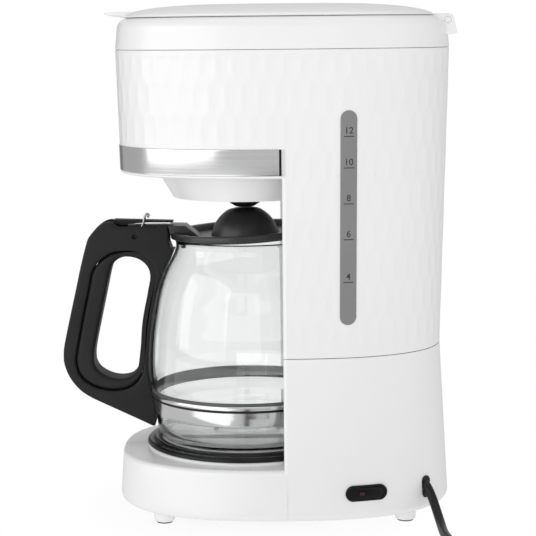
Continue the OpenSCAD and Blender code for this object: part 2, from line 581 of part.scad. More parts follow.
// The grip that the fingers hold is let into each side of the handle
grip_inlay = [[-105.6, 178.4], [-110.6, 174.8], [-114.8, 170.4], [-117.6, 164.6], [-119, 157.6], [-123.1, 139.4],
    [-126.6, 122.4], [-129.4, 108], [-129.6, 102], [-128.4, 96.4], [-125.6, 91.6], [-121, 87.6],
    [-115.4, 84.8], [-108.6, 83], [-101, 82.6], [-94.6, 83.8], [-89, 86.8], [-85, 91.6], [-83, 97.4],
    [-82.4, 111.4], [-81.6, 126], [-79.6, 141], [-77.5, 154.4], [-76.3, 162], [-76.6, 167], [-79, 172],
    [-83.2, 176.2], [-88, 179.3], [-93.7, 180.8], [-100, 180.4]];
inlay_depth = 1.3;
module grip_shape() difference() {
    polygon(concat(grip_outer, grip_inner, grip_top));
    polygon(grip_hole);
}
module in_side(w) rotate([90, 0, 90]) translate([0, 0, -w / 2]) linear_extrude(w) children();
lever_w = 12;
module carafe_handle() color(black) difference() {
    union() {
        in_side(grip_w - 5) grip_shape();
        in_side(grip_w) offset(delta = -1.8) grip_shape();
    }
    for (s = [-1, 1]) translate([s * (grip_w - inlay_depth) / 2, 0, 0]) in_side(inlay_depth + 0.02)
        polygon(grip_inlay);
    // slot for the thumb lever and the lid's arm
    translate([-lever_w / 2 - 0.5, -109.5, 186.4]) cube([lever_w + 1, 70, 20]);
    translate([-30, jug_pin_y, jug_pin_z]) rotate([0, 90, 0]) cylinder(r = 1.55, h = 60, $fn = 24);
    // clamp for the band's two tabs, and its screw
    translate([-3.6, -88, jug_band_z - 1]) cube([7.2, 14, jug_band_h]);
    translate([-15, -82, band_screw_z]) rotate([0, 90, 0]) cylinder(r = 1.7, h = 22.5);
    translate([-20.9, -82, band_screw_z]) rotate([0, 90, 0]) cylinder(r = 3.3, h = 12);
}
module jug_lid_pin() color(steel) translate([-grip_w / 2 + 2.6, jug_pin_y, jug_pin_z]) rotate([0, 90, 0])
    cylinder(r = 1.5, h = grip_w - 5.2, $fn = 24);
// The lid's section: the dome, the dish round it, the rim over the glass, and back underneath
lid_section = [[0, 206.1], [4, 206], [7, 205.8], [9.5, 205.3], [11.8, 204.4], [14.6, 202.5], [17.4, 199.9],
    [19.5, 197.3], [21, 194.8], [22.4, 191.4], [23.6, 187.8], [44.6, 187.6], [46.4, 190.4], [48.2, 191.6],
    [51, 191.6], [51.8, 190.8], [51.8, 187.6], [50.7, 187.6], [50.5, 189.3], [47.2, 189.4],
    [45.4, 188.4], [44.7, 185.6], [22.4, 185.8], [20.6, 190.6], [17.4, 196.4], [14, 199.8], [9, 202.8],
    [4, 203.9], [0, 204]];
lid_tilt = 2.7;               // the drip valve's stem keeps the lid off the glass at the back
arm_w = 8;
lug_turns = [-106, -74, 74, 106];
module about_jug_pin(turn) translate([0, jug_pin_y, jug_pin_z]) rotate([turn, 0, 0])
    translate([0, -jug_pin_y, -jug_pin_z]) children();
module carafe_lid() color(black) difference() {
    union() {
        about_jug_pin(lid_tilt) at_jug() {
            rotate_extrude($fn = 96) polygon(lid_section);
            for (a = lug_turns) rotate(a) translate([43, -2.5, 181.4]) cube([2.2, 5, 5]);
        }
        in_side(arm_w) polygon([[-92.6, 194.6], [-90.5, 189.8], [-86.5, 188.9], [-84.2, 190.4],
            [-83, 194], [-63, 192.4], [-60, 192.4], [-60, 198.2], [-84, 198.4], [-92, 198.2]]);
        in_side(grip_w - 1) polygon(concat([for (a = [4:4:16]) about_pin(knuckle_r + 0.6, a)],
            [[-62.4, 198.2], [-51.8, 197.9], [-46, 193.4], [-40, 188.8], [-44, 188.8], [-50, 191.6]]));
    }
    translate([-30, jug_pin_y, jug_pin_z]) rotate([0, 90, 0]) cylinder(r = 1.56, h = 60, $fn = 24);
    at_jug() for (i = [-3:3]) rotate(90 + i * 7) translate([33, -0.9, 180]) cube([9, 1.8, 20]);
}
module thumb_lever() color(black) in_side(arm_w + 1) polygon([[-104.8, 200], [-105, 199.2], [-103.6, 198.5],
    [-61.4, 198.5], [-60.4, 199.1], [-61.2, 200.1], [-84, 200.4], [-104, 200.5]]);
// A torsion spring round the pin: two rings, and a bail that crosses over the lever
ring_x = 5.4;
bail = [[-85.4, 192.4], [-83.6, 196.4], [-82.3, 200], [-81.9, 203], [-81, 204.5], [-79.8, 204.6],
    [-78.8, 203.4]];
module lid_spring() color(steel) {
    for (s = [-1, 1]) translate([s * ring_x - 0.5, jug_pin_y, jug_pin_z]) rotate([0, 90, 0]) pipe(2.6, 1.6, 1);
    tube([for (s = [-1, 1]) for (i = [0:len(bail) - 1]) let (p = bail[s < 0 ? i : len(bail) - 1 - i])
        [s * ring_x, p[0], p[1]]], 0.45, 8);
}

// ---- cord ----
// The route, from inside the gland to the coil: down through the slot to the table, and towards +X
cord_route = [[47.6, 101.4, 28.8], [51, 104.8, 28.8], [54, 107.6, 28], [57.2, 110.2, 26], [60.6, 112.4, 22.4],
    [64.4, 114.4, 17.6], [69, 116, 12.8], [74.6, 117.4, 8.2], [82, 118.4, 4.8], [91, 118.8, 3.4], [101, 119.4, 3.2],
    [114, 121.6, 3.2], [130, 126.4, 3.2], [147, 132.4, 3.2], [164, 138.4, 3.2], [178, 142.2, 3.2],
    [190, 143.2, 3.2]];
coil_at = [190, 105];
coil_r = 35;
turn_gap = 6.5;
// The other end leaves the coil's upper turn and reaches the plug
tail_route = [[217, 78, 9.8], [210, 71, 9.6], [204, 64, 9.2], [199.6, 56, 9.4], [197.2, 47.5, 10.6],
    [196.4, 42, 11], [196.2, 38, 11]];
plug_at = [196.2, 38, 11];
module power_cord() color(black) tube(smooth(cord_route, 2), cord_d / 2, 10);
module cord_tail() color(black) tube(smooth(tail_route, 2), cord_d / 2, 10);
module cord_coil() color(black) translate([coil_at[0], coil_at[1], 0]) rotate_extrude($fn = 64)
    translate([coil_r - turn_gap / 2 - cord_d / 2, 0.1]) square([turn_gap + cord_d, 2 * cord_d + 0.4]);
module cord_gland() color(black) difference() {
    on_wall(cord_y, cord_z) rotate([0, 0, 90]) {
        translate([0, 0, -5.4]) linear_extrude(6) stadium(cord_slot_h - 0.5, cord_slot_w - 0.5);
        translate([1.6, 0, -6.6]) linear_extrude(1.8) stadium(cord_slot_h + 4.4, cord_slot_w + 4);
    }
    // the cord comes down through it
    tube([for (i = [0:6]) cord_route[i]], cord_d / 2 + 0.2, 16);
}
module plug() color(black) translate(plug_at) rotate([90, 0, 0])
    skin([for (s = [[0, 4.2, 4.2], [6, 4.6, 4.6], [12, 5.2, 5.4], [16, 10.6, 8.4], [20, 12, 9.4],
        [36, 12, 9.4], [38, 11.4, 8.8]]) [for (i = [0:23]) let (t = 360 * i / 24)
        [s[1] * sign(cos(t)) * pow(abs(cos(t)), 0.6), s[2] * sign(sin(t)) * pow(abs(sin(t)), 0.6), s[0]]]]);
module plug_pins() color(steel) for (s = [-1, 1]) translate(plug_at + [s * 6.35 - 0.75, -38.2 - 17, -3.2])
    cube([1.5, 17, 6.4]);
module wiring() color([0.3, 0.3, 0.34]) {
    for (s = [-1, 1]) tube(smooth([[47.4 - s, 101.2 + s, 28.8], [44.4 - s, 98 + s, 28.6],
        [41 - 2 * s, 92, 27], [40 - 2 * s, 84, 22 + s], [44 - 2 * s, 76, 20 + 2 * s], [54, 70 + 2 * s, 23],
        [62, 66 + 4 * s, 27]], 3), 1.3, 6);
    tube(smooth([[61.5, 60, 24.5], [56, 56, 20], [50, 52, 18.6], [45.6, 48, 19.4]], 3), 1.3, 6);
}

at_origin() base_housing();
at_origin() bottom_cover();
at_origin() feet();
at_origin() foot_pads();
at_origin() base_screws();
at_origin() upper_housing();
at_origin() level_window();
at_origin() head_band();
at_origin() band_trims();
at_origin() collar();
at_origin() lid_hinge_pin();
at_origin() brew_lid();
at_origin() spray_head();
at_origin() water_channel();
at_origin() filter_chamber();
at_origin() filter_basket();
at_origin() drip_valve();
at_origin() valve_seal();
at_origin() valve_spring();
at_origin() reservoir();
at_origin() check_valve();
at_origin() riser_tube();
at_origin() cold_hose();
at_origin() hot_hose();
at_origin() hose_clips();
at_origin() warming_plate();
at_origin() plate_ring();
at_origin() heater();
at_origin() element_ends();
at_origin() heater_bracket();
at_origin() thermostat();
at_origin() thermal_fuse();
at_origin() switch_frame();
at_origin() rocker_switch();
at_origin() rocker_pin();
at_origin() carafe_glass();
at_origin() carafe_band();
at_origin() band_screw();
at_origin() carafe_handle();
at_origin() jug_lid_pin();
at_origin() carafe_lid();
at_origin() thumb_lever();
at_origin() lid_spring();
at_origin() power_cord();
at_origin() cord_coil();
at_origin() cord_tail();
at_origin() cord_gland();
at_origin() plug();
at_origin() plug_pins();
at_origin() wiring();
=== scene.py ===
"""The looks of a white drip coffee maker with a glass jug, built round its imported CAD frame.

Sizes in this file are in millimetres, and make_mesh() turns them into metres. Depths are from the
drawing's datum, which lies DATUM_Y behind the frame's origin.
"""
import json
import math

import bmesh
import bpy
import numpy as np
from mathutils import Matrix, Vector


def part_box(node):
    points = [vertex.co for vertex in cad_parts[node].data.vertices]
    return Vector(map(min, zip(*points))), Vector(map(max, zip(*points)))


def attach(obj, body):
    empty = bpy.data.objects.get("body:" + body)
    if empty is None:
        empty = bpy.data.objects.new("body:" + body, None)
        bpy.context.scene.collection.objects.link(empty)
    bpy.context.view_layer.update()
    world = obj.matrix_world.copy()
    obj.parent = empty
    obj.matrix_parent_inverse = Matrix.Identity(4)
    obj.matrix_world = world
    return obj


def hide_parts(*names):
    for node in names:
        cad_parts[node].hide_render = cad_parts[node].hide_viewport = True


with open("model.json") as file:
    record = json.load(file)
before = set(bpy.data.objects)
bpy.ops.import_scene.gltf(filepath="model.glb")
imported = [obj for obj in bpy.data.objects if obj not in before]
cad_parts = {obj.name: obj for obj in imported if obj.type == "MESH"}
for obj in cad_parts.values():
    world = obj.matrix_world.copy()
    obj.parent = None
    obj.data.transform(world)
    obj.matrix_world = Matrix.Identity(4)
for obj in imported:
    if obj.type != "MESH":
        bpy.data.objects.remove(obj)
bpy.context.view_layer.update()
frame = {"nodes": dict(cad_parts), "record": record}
nodes = frame["nodes"]
scene = bpy.context.scene
MM = 0.001
DATUM_Y = 2.6


def node_box(name):
    """Lowest and highest corner of a CAD node, in millimetres from the datum."""
    low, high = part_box(name)
    datum = Vector((0.0, DATUM_Y, 0.0))
    return low / MM - datum, high / MM - datum


def metres(p):
    """A point in millimetres from the datum, as metres from the origin."""
    return p[0] * MM, (p[1] + DATUM_Y) * MM, p[2] * MM


# ---------------------------------------------------------------- driving sizes, from the frame
UPPER_HIGH = node_box("upper_housing")[1]
BAND_LOW, BAND_HIGH = node_box("head_band")
GLASS_LOW, GLASS_HIGH = node_box("carafe_glass")
COLLAR_Z = round(UPPER_HIGH.z)
RIM_Z = 340.0
SEAM_Z = 117.0
HEAD_Z = 236.0
DECK_Z = 42.5
SKIRT_Z = 8.0
EDGE_R = 4.5
JUG_Y = round((GLASS_LOW.y + GLASS_HIGH.y) / 2, 1)
BAY_R = 74.0
ARM_Y = 14.5
BAND_Z0, BAND_Z1 = round(BAND_LOW.z), round(BAND_HIGH.z)
BAND_END_Y = round(BAND_HIGH.y, 1) + 2.0
HINGE_Y, HINGE_Z = 126.7, 337.1
PIN_Y, PIN_Z = -87.1, 190.8

# The housing's plan outline at a height: half width, half depth and centre
PLAN_POWER = 2.5
BASE_PLAN = (85.5, 114.9, 15.1)
SEAM_PLAN = (80.0, 108.2, 16.0)
TOP_PLAN = (86.5, 113.8, 16.0)
LID_PLAN = (80.5, 105.8, 13.3)


# ---------------------------------------------------------------- camera
CAMERA_AT = (1.170, 0.0076, 0.330)
CAMERA_DOWN = 7.95
CAMERA_ROLL = -0.55
CAMERA_LENS = 113.5


def make_camera():
    data = bpy.data.cameras.new("camera")
    data.lens = CAMERA_LENS
    data.sensor_width = 36.0
    data.clip_start = 0.05
    data.clip_end = 50.0
    camera = bpy.data.objects.new("camera", data)
    scene.collection.objects.link(camera)
    place = Matrix.Translation(CAMERA_AT)
    for degrees, axis in ((90, "Z"), (90 - CAMERA_DOWN, "X"), (CAMERA_ROLL, "Z")):
        place = place @ Matrix.Rotation(math.radians(degrees), 4, axis)
    camera.matrix_world = place
    scene.camera = camera


make_camera()


# ---------------------------------------------------------------- mesh helpers
def make_mesh(name, points, faces, smooth_angle=35.0):
    """A mesh object from points in millimetres."""
    mesh = bpy.data.meshes.new(name)
    mesh.from_pydata([metres(p) for p in points], [], faces)
    mesh.validate()
    mesh.shade_smooth()
    if smooth_angle:
        mesh.set_sharp_from_angle(angle=math.radians(smooth_angle))
    obj = bpy.data.objects.new(name, mesh)
    scene.collection.objects.link(obj)
    return obj


class Builder:
    """Collects grids and strips of points into one mesh."""

    def __init__(self):
        self.points = []
        self.faces = []

    def add(self, row):
        start = len(self.points)
        self.points += [tuple(p) for p in row]
        return list(range(start, start + len(row)))

    def strip(self, low, high, closed=False, flip=False, keep=None):
        count = len(low)
        for j in range(count if closed else count - 1):
            k = (j + 1) % count
            if keep is not None and not keep[j]:
                continue
            face = (low[j], low[k], high[k], high[j])
            self.faces.append(face[::-1] if flip else face)

    def strips(self, rows, closed=False, flip=False, keep=None):
        for low, high in zip(rows, rows[1:]):
            self.strip(low, high, closed, flip, keep)

    def grid(self, rows, closed=False, flip=False):
        made = [self.add(row) for row in rows]
        self.strips(made, closed, flip)
        return made

    def block(self, low, high):
        """A solid between two closed rows."""
        made = self.grid([low, high], closed=True)
        self.cap(made[0], flip=True)
        self.cap(made[1])

    def fan(self, row, centre, flip=False):
        middle = self.add([centre])[0]
        for j, a in enumerate(row):
            b = row[(j + 1) % len(row)]
            self.faces.append((b, a, middle) if flip else (a, b, middle))

    def cap(self, row, flip=False):
        self.faces.append(tuple(row[::-1] if flip else row))

    def make(self, name, smooth_angle=35.0, merge=0.0):
        obj = make_mesh(name, self.points, self.faces, None if merge else smooth_angle)
        if merge:
            weld(obj, merge, smooth_angle)
        return obj


def weld(obj, distance, smooth_angle):
    """Joins points that lie on each other, and marks the sharp edges afterwards."""
    work = bmesh.new()
    work.from_mesh(obj.data)
    bmesh.ops.remove_doubles(work, verts=work.verts, dist=distance * MM)
    bmesh.ops.recalc_face_normals(work, faces=work.faces)
    work.to_mesh(obj.data)
    work.free()
    obj.data.shade_smooth()
    if smooth_angle:
        obj.data.set_sharp_from_angle(angle=math.radians(smooth_angle))


def circle(y, z, radius, count):
    """Points (y, z) round a circle in the side view."""
    return [(y + radius * math.cos(a), z + radius * math.sin(a))
            for a in np.linspace(0.0, 2 * math.pi, count, endpoint=False)]


def curve_through(points, steps=4, closed=False):
    """Points on a smooth curve through the given ones."""
    p = [np.array(q, float) for q in points]
    count = len(p)
    out = []
    for i in range(count if closed else count - 1):
        a = p[(i - 1) % count] if closed or i else p[i]
        b, c = p[i], p[(i + 1) % count]
        d = p[(i + 2) % count] if closed or i + 2 < count else c
        for s in range(steps):
            t = s / steps
            out.append(0.5 * (2 * b + (c - a) * t + (2 * a - 5 * b + 4 * c - d) * t * t
                              + (3 * b - a - 3 * c + d) * t ** 3))
    if not closed:
        out.append(p[-1])
    return out


def lathe(name, profile, centre=(0.0, None), steps=160, closed_profile=False, smooth_angle=35.0):
    """Turns a profile of (radius, height) round the jug's axis, or round another one."""
    cx, cy = centre[0], JUG_Y if centre[1] is None else centre[1]
    build = Builder()
    rows = []
    for r, z in profile:
        if r < 1e-6:
            rows.append(build.add([(cx, cy, z)]))
        else:
            rows.append(build.add([(cx + r * math.cos(2 * math.pi * i / steps),
                                    cy + r * math.sin(2 * math.pi * i / steps), z) for i in range(steps)]))
    if closed_profile:
        rows.append(rows[0])
    for low, high in zip(rows, rows[1:]):
        if len(low) == 1 and len(high) > 1:
            build.faces += [(high[(j + 1) % steps], high[j], low[0]) for j in range(steps)]
        elif len(high) == 1 and len(low) > 1:
            build.faces += [(low[j], low[(j + 1) % steps], high[0]) for j in range(steps)]
        elif len(low) > 1:
            build.strip(low, high, closed=True)
    obj = build.make(name, smooth_angle)
    weld(obj, 0.0001, smooth_angle)
    return obj


def flat_shape(name, outlines, half_width, bevel, resolution=4, middle_x=0.0):
    """Extrudes outlines in the side view, given as (y, z), across X, with rounded edges."""
    curve = bpy.data.curves.new(name, "CURVE")
    curve.dimensions = "2D"
    curve.fill_mode = "BOTH"
    curve.extrude = (half_width - bevel) * MM
    curve.bevel_depth = bevel * MM
    curve.bevel_resolution = resolution
    curve.offset = -bevel * MM
    for outline in outlines:
        spline = curve.splines.new("POLY")
        spline.points.add(len(outline) - 1)
        for point, (y, z) in zip(spline.points, outline):
            point.co = ((y + DATUM_Y) * MM, z * MM, 0.0, 1.0)
        spline.use_cyclic_u = True
    holder = bpy.data.objects.new(name + "_curve", curve)
    scene.collection.objects.link(holder)
    bpy.context.view_layer.update()
    graph = bpy.context.evaluated_depsgraph_get()
    mesh = bpy.data.meshes.new_from_object(holder.evaluated_get(graph))
    bpy.data.objects.remove(holder)
    mesh.transform(Matrix(((0, 0, 1, middle_x * MM), (1, 0, 0, 0), (0, 1, 0, 0), (0, 0, 0, 1))))
    obj = bpy.data.objects.new(name, mesh)
    scene.collection.objects.link(obj)
    weld(obj, 0.002, 40.0)
    return obj


def join(name, objects):
    """Joins mesh objects into one."""
    with bpy.context.temp_override(active_object=objects[0], selected_editable_objects=objects,
                                   selected_objects=objects, object=objects[0]):
        bpy.ops.object.join()
    objects[0].name = name
    return objects[0]


def tube(name, path, radius, sides=12, closed=False):
    """A round wire along a path, in millimetres."""
    path = [np.array(p, float) for p in path]
    build = Builder()
    rings = []
    side = None
    count = len(path)
    for i, p in enumerate(path):
        ahead = path[(i + 1) % count] if closed or i + 1 < count else p
        behind = path[i - 1] if closed or i else p
        direction = (ahead - behind) / np.linalg.norm(ahead - behind)
        if side is None:
            side = np.cross(direction, (0.0, 0.0, 1.0))
            if np.linalg.norm(side) < 1e-3:
                side = np.array((1.0, 0.0, 0.0))
        side = side - direction * np.dot(side, direction)
        side = side / np.linalg.norm(side)
        up = np.cross(side, direction)
        rings.append(build.add([p + radius * (math.cos(a) * side + math.sin(a) * up)
                                for a in (2 * math.pi * k / sides for k in range(sides))]))
    build.strips(rings, closed=True)
    if closed:
        build.strip(rings[-1], rings[0], closed=True)
    else:
        build.cap(rings[0])
        build.cap(rings[-1], flip=True)
    return build.make(name, 50.0)


# ---------------------------------------------------------------- the lead
LEAD_D = 6.2
# The same points as in the part: from inside the gland down to the table, and towards +X
LEAD_ROUTE = [
    (47.6, 101.4, 28.8), (51, 104.8, 28.8), (54, 107.6, 28), (57.2, 110.2, 26), (60.6, 112.4, 22.4),
    (64.4, 114.4, 17.6), (69, 116, 12.8), (74.6, 117.4, 8.2), (82, 118.4, 4.8), (91, 118.8, 3.4),
    (101, 119.4, 3.2), (114, 121.6, 3.2), (130, 126.4, 3.2), (147, 132.4, 3.2), (164, 138.4, 3.2),
    (178, 142.2, 3.2)]
TAIL_ROUTE = [(210, 71, 9.6), (204, 64, 9.2), (199.6, 56, 9.4), (197.2, 47.5, 10.6), (196.4, 42, 11),
              (196.2, 38, 11)]
COIL_AT = (190.0, 105.0)
COIL_R_OUT, COIL_R_IN = 38.2, 31.8
COIL_Z_LOW, COIL_Z_HIGH = 3.2, 9.8
COIL_TURN = 1215.0            # degrees, clockwise from the back
COIL_STEP = 15.0
# Where the turns step inwards, up, and outwards again: the degrees at which each step starts and ends
STEP_IN, STEP_UP, STEP_OUT = (282.0, 342.0), (560.0, 640.0), (866.0, 930.0)


def ease(value, span):
    """0 before a span and 1 after it, with a smooth change between."""
    t = min(1.0, max(0.0, (value - span[0]) / (span[1] - span[0])))
    return t * t * (3 - 2 * t)


def coil_point(turn):
    """A point of the lead's coil, two turns wide and two high."""
    radius = COIL_R_OUT + (COIL_R_IN - COIL_R_OUT) * (ease(turn, STEP_IN) - ease(turn, STEP_OUT))
    angle = math.radians(90.0 - turn)
    z = COIL_Z_LOW + (COIL_Z_HIGH - COIL_Z_LOW) * ease(turn, STEP_UP)
    return COIL_AT[0] + radius * math.cos(angle), COIL_AT[1] + radius * math.sin(angle), z


def make_lead():
    coil = [coil_point(turn) for turn in np.arange(0.0, COIL_TURN + 1.0, COIL_STEP)]
    path = curve_through(LEAD_ROUTE + coil + TAIL_ROUTE, 2)
    curve = bpy.data.curves.new("lead", "CURVE")
    curve.dimensions = "3D"
    curve.bevel_depth = LEAD_D / 2 * MM
    curve.bevel_resolution = 5
    curve.use_fill_caps = True
    spline = curve.splines.new("POLY")
    spline.points.add(len(path) - 1)
    for point, p in zip(spline.points, path):
        point.co = (*metres(p), 1.0)
    lead = bpy.data.objects.new("lead", curve)
    scene.collection.objects.link(lead)
    return lead


LEAD = make_lead()


# ---------------------------------------------------------------- the housing's outline
def mix(a, b, t):
    return a + (b - a) * t


def plan_at(z):
    """Half width, half depth and centre of the housing's plan at height z."""
    if z >= SEAM_Z:
        t = (z - SEAM_Z) / (COLLAR_Z - SEAM_Z)
        return tuple(mix(a, b, t) for a, b in zip(SEAM_PLAN, TOP_PLAN))
    t = max(0.0, (z - SKIRT_Z - EDGE_R) / (SEAM_Z - SKIRT_Z - EDGE_R))
    a, b, y = (mix(p, q, t) for p, q in zip(BASE_PLAN, SEAM_PLAN))
    drop = SKIRT_Z + EDGE_R - max(z, SKIRT_Z)
    inset = EDGE_R - math.sqrt(EDGE_R ** 2 - drop ** 2) if drop > 0 else 0.0
    return a - inset, b - inset, y


def power_step(v):
    return math.copysign(abs(v) ** (2 / PLAN_POWER), v)


def plan_point(plan, t, z, inset=0.0):
    """A point on a plan outline at angle t, moved in by inset, and its outward normal."""
    a, b, y = plan
    x, v = power_step(math.cos(t)), power_step(math.sin(t))
    steep = PLAN_POWER - 1
    normal = np.array((math.copysign(abs(x) ** steep / a, x), math.copysign(abs(v) ** steep / b, v), 0.0))
    normal /= np.linalg.norm(normal)
    return np.array((a * x, y + b * v, z)) - normal * inset, normal


def angle_at_y(plan, y, right=True):
    """The angle at which a plan outline crosses a depth, on its +X or its -X side."""
    v = (y - plan[2]) / plan[1]
    t = math.asin(math.copysign(abs(v) ** (PLAN_POWER / 2), v))
    return t if right else math.pi - t


def even_angles(plan, count):
    """Angles of points spaced evenly along a plan outline, from the +X side round, and its length."""
    fine = np.linspace(0.0, 2 * math.pi, 20001)
    xy = np.array([plan_point(plan, t, 0.0)[0][:2] for t in fine])
    walk = np.concatenate([[0.0], np.cumsum(np.linalg.norm(np.diff(xy, axis=0), axis=1))])
    return np.interp(np.arange(count) / count * walk[-1], walk, fine), walk[-1]


# ---------------------------------------------------------------- materials
def shader(name, color, roughness=0.4, metallic=0.0, coat=0.0, **extra):
    """A principled material. extra names other sockets of the shader."""
    material = bpy.data.materials.new(name)
    material.use_nodes = True
    bsdf = material.node_tree.nodes["Principled BSDF"]
    bsdf.inputs["Base Color"].default_value = (*color[:3], 1.0)
    bsdf.inputs["Roughness"].default_value = roughness
    bsdf.inputs["Metallic"].default_value = metallic
    bsdf.inputs["Coat Weight"].default_value = coat
    for socket, value in extra.items():
        bsdf.inputs[socket.replace("_", " ")].default_value = value
    return material


def node(material, kind, **values):
    made = material.node_tree.nodes.new(kind)
    for key, value in values.items():
        if key.replace("_", " ") in made.inputs:
            made.inputs[key.replace("_", " ")].default_value = value
        else:
            setattr(made, key, value)
    return made


def link(material, source, target):
    material.node_tree.links.new(source, target)


def noise(material, scale, stretch, detail):
    """Noise over the object's own coordinates."""
    coordinates = node(material, "ShaderNodeTexCoord")
    mapping = node(material, "ShaderNodeMapping", Scale=stretch)
    made = node(material, "ShaderNodeTexNoise", Scale=scale, Detail=detail)
    link(material, coordinates.outputs["Object"], mapping.inputs["Vector"])
    link(material, mapping.outputs["Vector"], made.inputs["Vector"])
    return made.outputs["Fac"]


def feed(material, source, socket):
    link(material, source, material.node_tree.nodes["Principled BSDF"].inputs[socket])


EVEN = (1.0, 1.0, 1.0)


def vary_color(material, color, spread, scale, stretch=EVEN):
    """Breaks a base colour up into slightly lighter and darker patches."""
    ramp = node(material, "ShaderNodeValToRGB")
    for element, at, share in zip(ramp.color_ramp.elements, (0.3, 0.7), (1 - spread, 1 + spread)):
        element.position = at
        element.color = (*[min(1.0, c * share) for c in color], 1.0)
    link(material, noise(material, scale, stretch, 3.0), ramp.inputs["Fac"])
    feed(material, ramp.outputs["Color"], "Base Color")


def vary_roughness(material, low, high, scale, stretch=EVEN):
    spread = node(material, "ShaderNodeMapRange", To_Min=low, To_Max=high)
    link(material, noise(material, scale, stretch, 4.0), spread.inputs["Value"])
    feed(material, spread.outputs["Result"], "Roughness")


def add_bump(material, strength, distance, scale, stretch=EVEN):
    bump = node(material, "ShaderNodeBump", Strength=strength, Distance=distance)
    link(material, noise(material, scale, stretch, 2.0), bump.inputs["Height"])
    feed(material, bump.outputs["Normal"], "Normal")


def surface(name, color, roughness, patches, rough, bump, **sockets):
    """A varied material. patches, rough and bump are what the three functions above take, or None."""
    made = shader(name, color, roughness, **sockets)
    if patches:
        vary_color(made, color, *patches)
    if rough:
        vary_roughness(made, *rough)
    if bump:
        add_bump(made, *bump)
    return made


def rubber(name, color, smooth=0.48, rough=0.64):
    return surface(name, color, 0.55, (0.12, 60.0), (smooth, rough, 120.0), (0.2, 0.0003, 900.0), IOR=1.35)


def ink(name, color):
    return surface(name, color, 0.5, (0.15, 300.0), None, None)


WHITE = surface("white_plastic", (0.83, 0.83, 0.835), 0.3, (0.012, 9.0), (0.26, 0.36, 60.0),
                (0.04, 0.0003, 900.0), coat=0.25, Coat_Roughness=0.12, IOR=1.5)
INNER = surface("inner_plastic", (0.72, 0.72, 0.70), 0.45, (0.02, 25.0), (0.4, 0.55, 80.0),
                (0.06, 0.0003, 700.0))
BLACK = surface("black_plastic", (0.011, 0.011, 0.012), 0.5, (0.12, 30.0), (0.44, 0.58, 90.0),
                (0.12, 0.0002, 2200.0), IOR=1.32)
# The jug lid's plastic is smoother than the handle's
LID_BLACK = surface("lid_plastic", (0.02, 0.02, 0.021), 0.28, (0.12, 30.0), (0.22, 0.36, 60.0), None,
                    IOR=1.5)
GLOSS_BLACK = surface("gloss_black", (0.01, 0.01, 0.011), 0.22, (0.1, 40.0), (0.16, 0.28, 50.0), None,
                      IOR=1.3)
STEEL = surface("polished_steel", (0.74, 0.74, 0.745), 0.16, (0.03, 60.0, (0.15, 0.15, 14.0)),
                (0.1, 0.22, 70.0, (0.1, 0.1, 30.0)), (0.03, 0.0001, 200.0, (0.1, 0.1, 20.0)),
                metallic=1.0, Anisotropic=0.4)
PLAIN_STEEL = surface("plain_steel", (0.55, 0.55, 0.57), 0.32, (0.06, 120.0), (0.25, 0.42, 150.0), None,
                      metallic=1.0)
CAST = surface("cast_metal", (0.52, 0.52, 0.53), 0.55, (0.08, 90.0), (0.45, 0.7, 150.0),
               (0.4, 0.0004, 700.0), metallic=1.0)
GLASS = surface("clear_glass", (0.97, 0.985, 0.98), 0.0, None, (0.0, 0.012, 30.0), None,
                IOR=1.47, Transmission_Weight=1.0)
COAT = surface("plate_coat", (0.36, 0.36, 0.36), 0.38, (0.15, 200.0), (0.3, 0.45, 200.0),
               (0.25, 0.0002, 2500.0))
LENS = surface("gauge_lens", (0.212, 0.212, 0.212), 0.22, (0.03, 30.0), (0.18, 0.28, 40.0), None,
               coat=0.4, Coat_Roughness=0.05)
SILICONE = surface("milky_silicone", (0.62, 0.61, 0.57), 0.4, (0.03, 40.0), (0.35, 0.5, 90.0), None,
                   Subsurface_Weight=0.2)
CORD_RUBBER = rubber("cord_rubber", (0.005, 0.005, 0.006), 0.24, 0.36)
PAD_RUBBER = rubber("pad_rubber", (0.09, 0.09, 0.09))
WIRE_JACKET = rubber("wire_jacket", (0.16, 0.16, 0.19))
INK = ink("gauge_ink", (0.025, 0.025, 0.025))
MARK = ink("switch_mark", (0.045, 0.006, 0.01))
# It glows a little, because inside the steel band it renders too dark otherwise
GLOWING_LINING = shader("glowing_band_lining", (0.85, 0.85, 0.85), 0.5, Emission_Color=(1.0, 1.0, 1.0, 1.0),
                Emission_Strength=0.4)

SLOT_MATERIALS = {
    "shell": WHITE, "inner_plastic": INNER, "black_plastic": BLACK, "switch_black": GLOSS_BLACK,
    "window": LENS, "band_steel": STEEL, "screw_steel": PLAIN_STEEL, "pad_rubber": PAD_RUBBER,
    "silicone": SILICONE, "plate_coat": COAT, "cast_aluminium": CAST, "ceramic": INNER,
    "jug_glass": GLASS, "cord_rubber": CORD_RUBBER, "wire_jacket": WIRE_JACKET}


def dress_nodes():
    """Gives each CAD node the material of its slot."""
    for row in frame["record"]["subparts"]:
        obj = nodes[row["node"]]
        obj.data.materials.clear()
        obj.data.materials.append(SLOT_MATERIALS[row["material_slot"]])


def finish_piece(obj, material, body, replaces=()):
    """Gives a piece its material, its body and the CAD nodes that it stands for."""
    obj.data.materials.clear()
    obj.data.materials.append(material)
    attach(obj, body)
    if replaces:
        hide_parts(*replaces)
    return obj


dress_nodes()
finish_piece(LEAD, CORD_RUBBER, "housing", ["power_cord", "cord_coil", "cord_tail"])


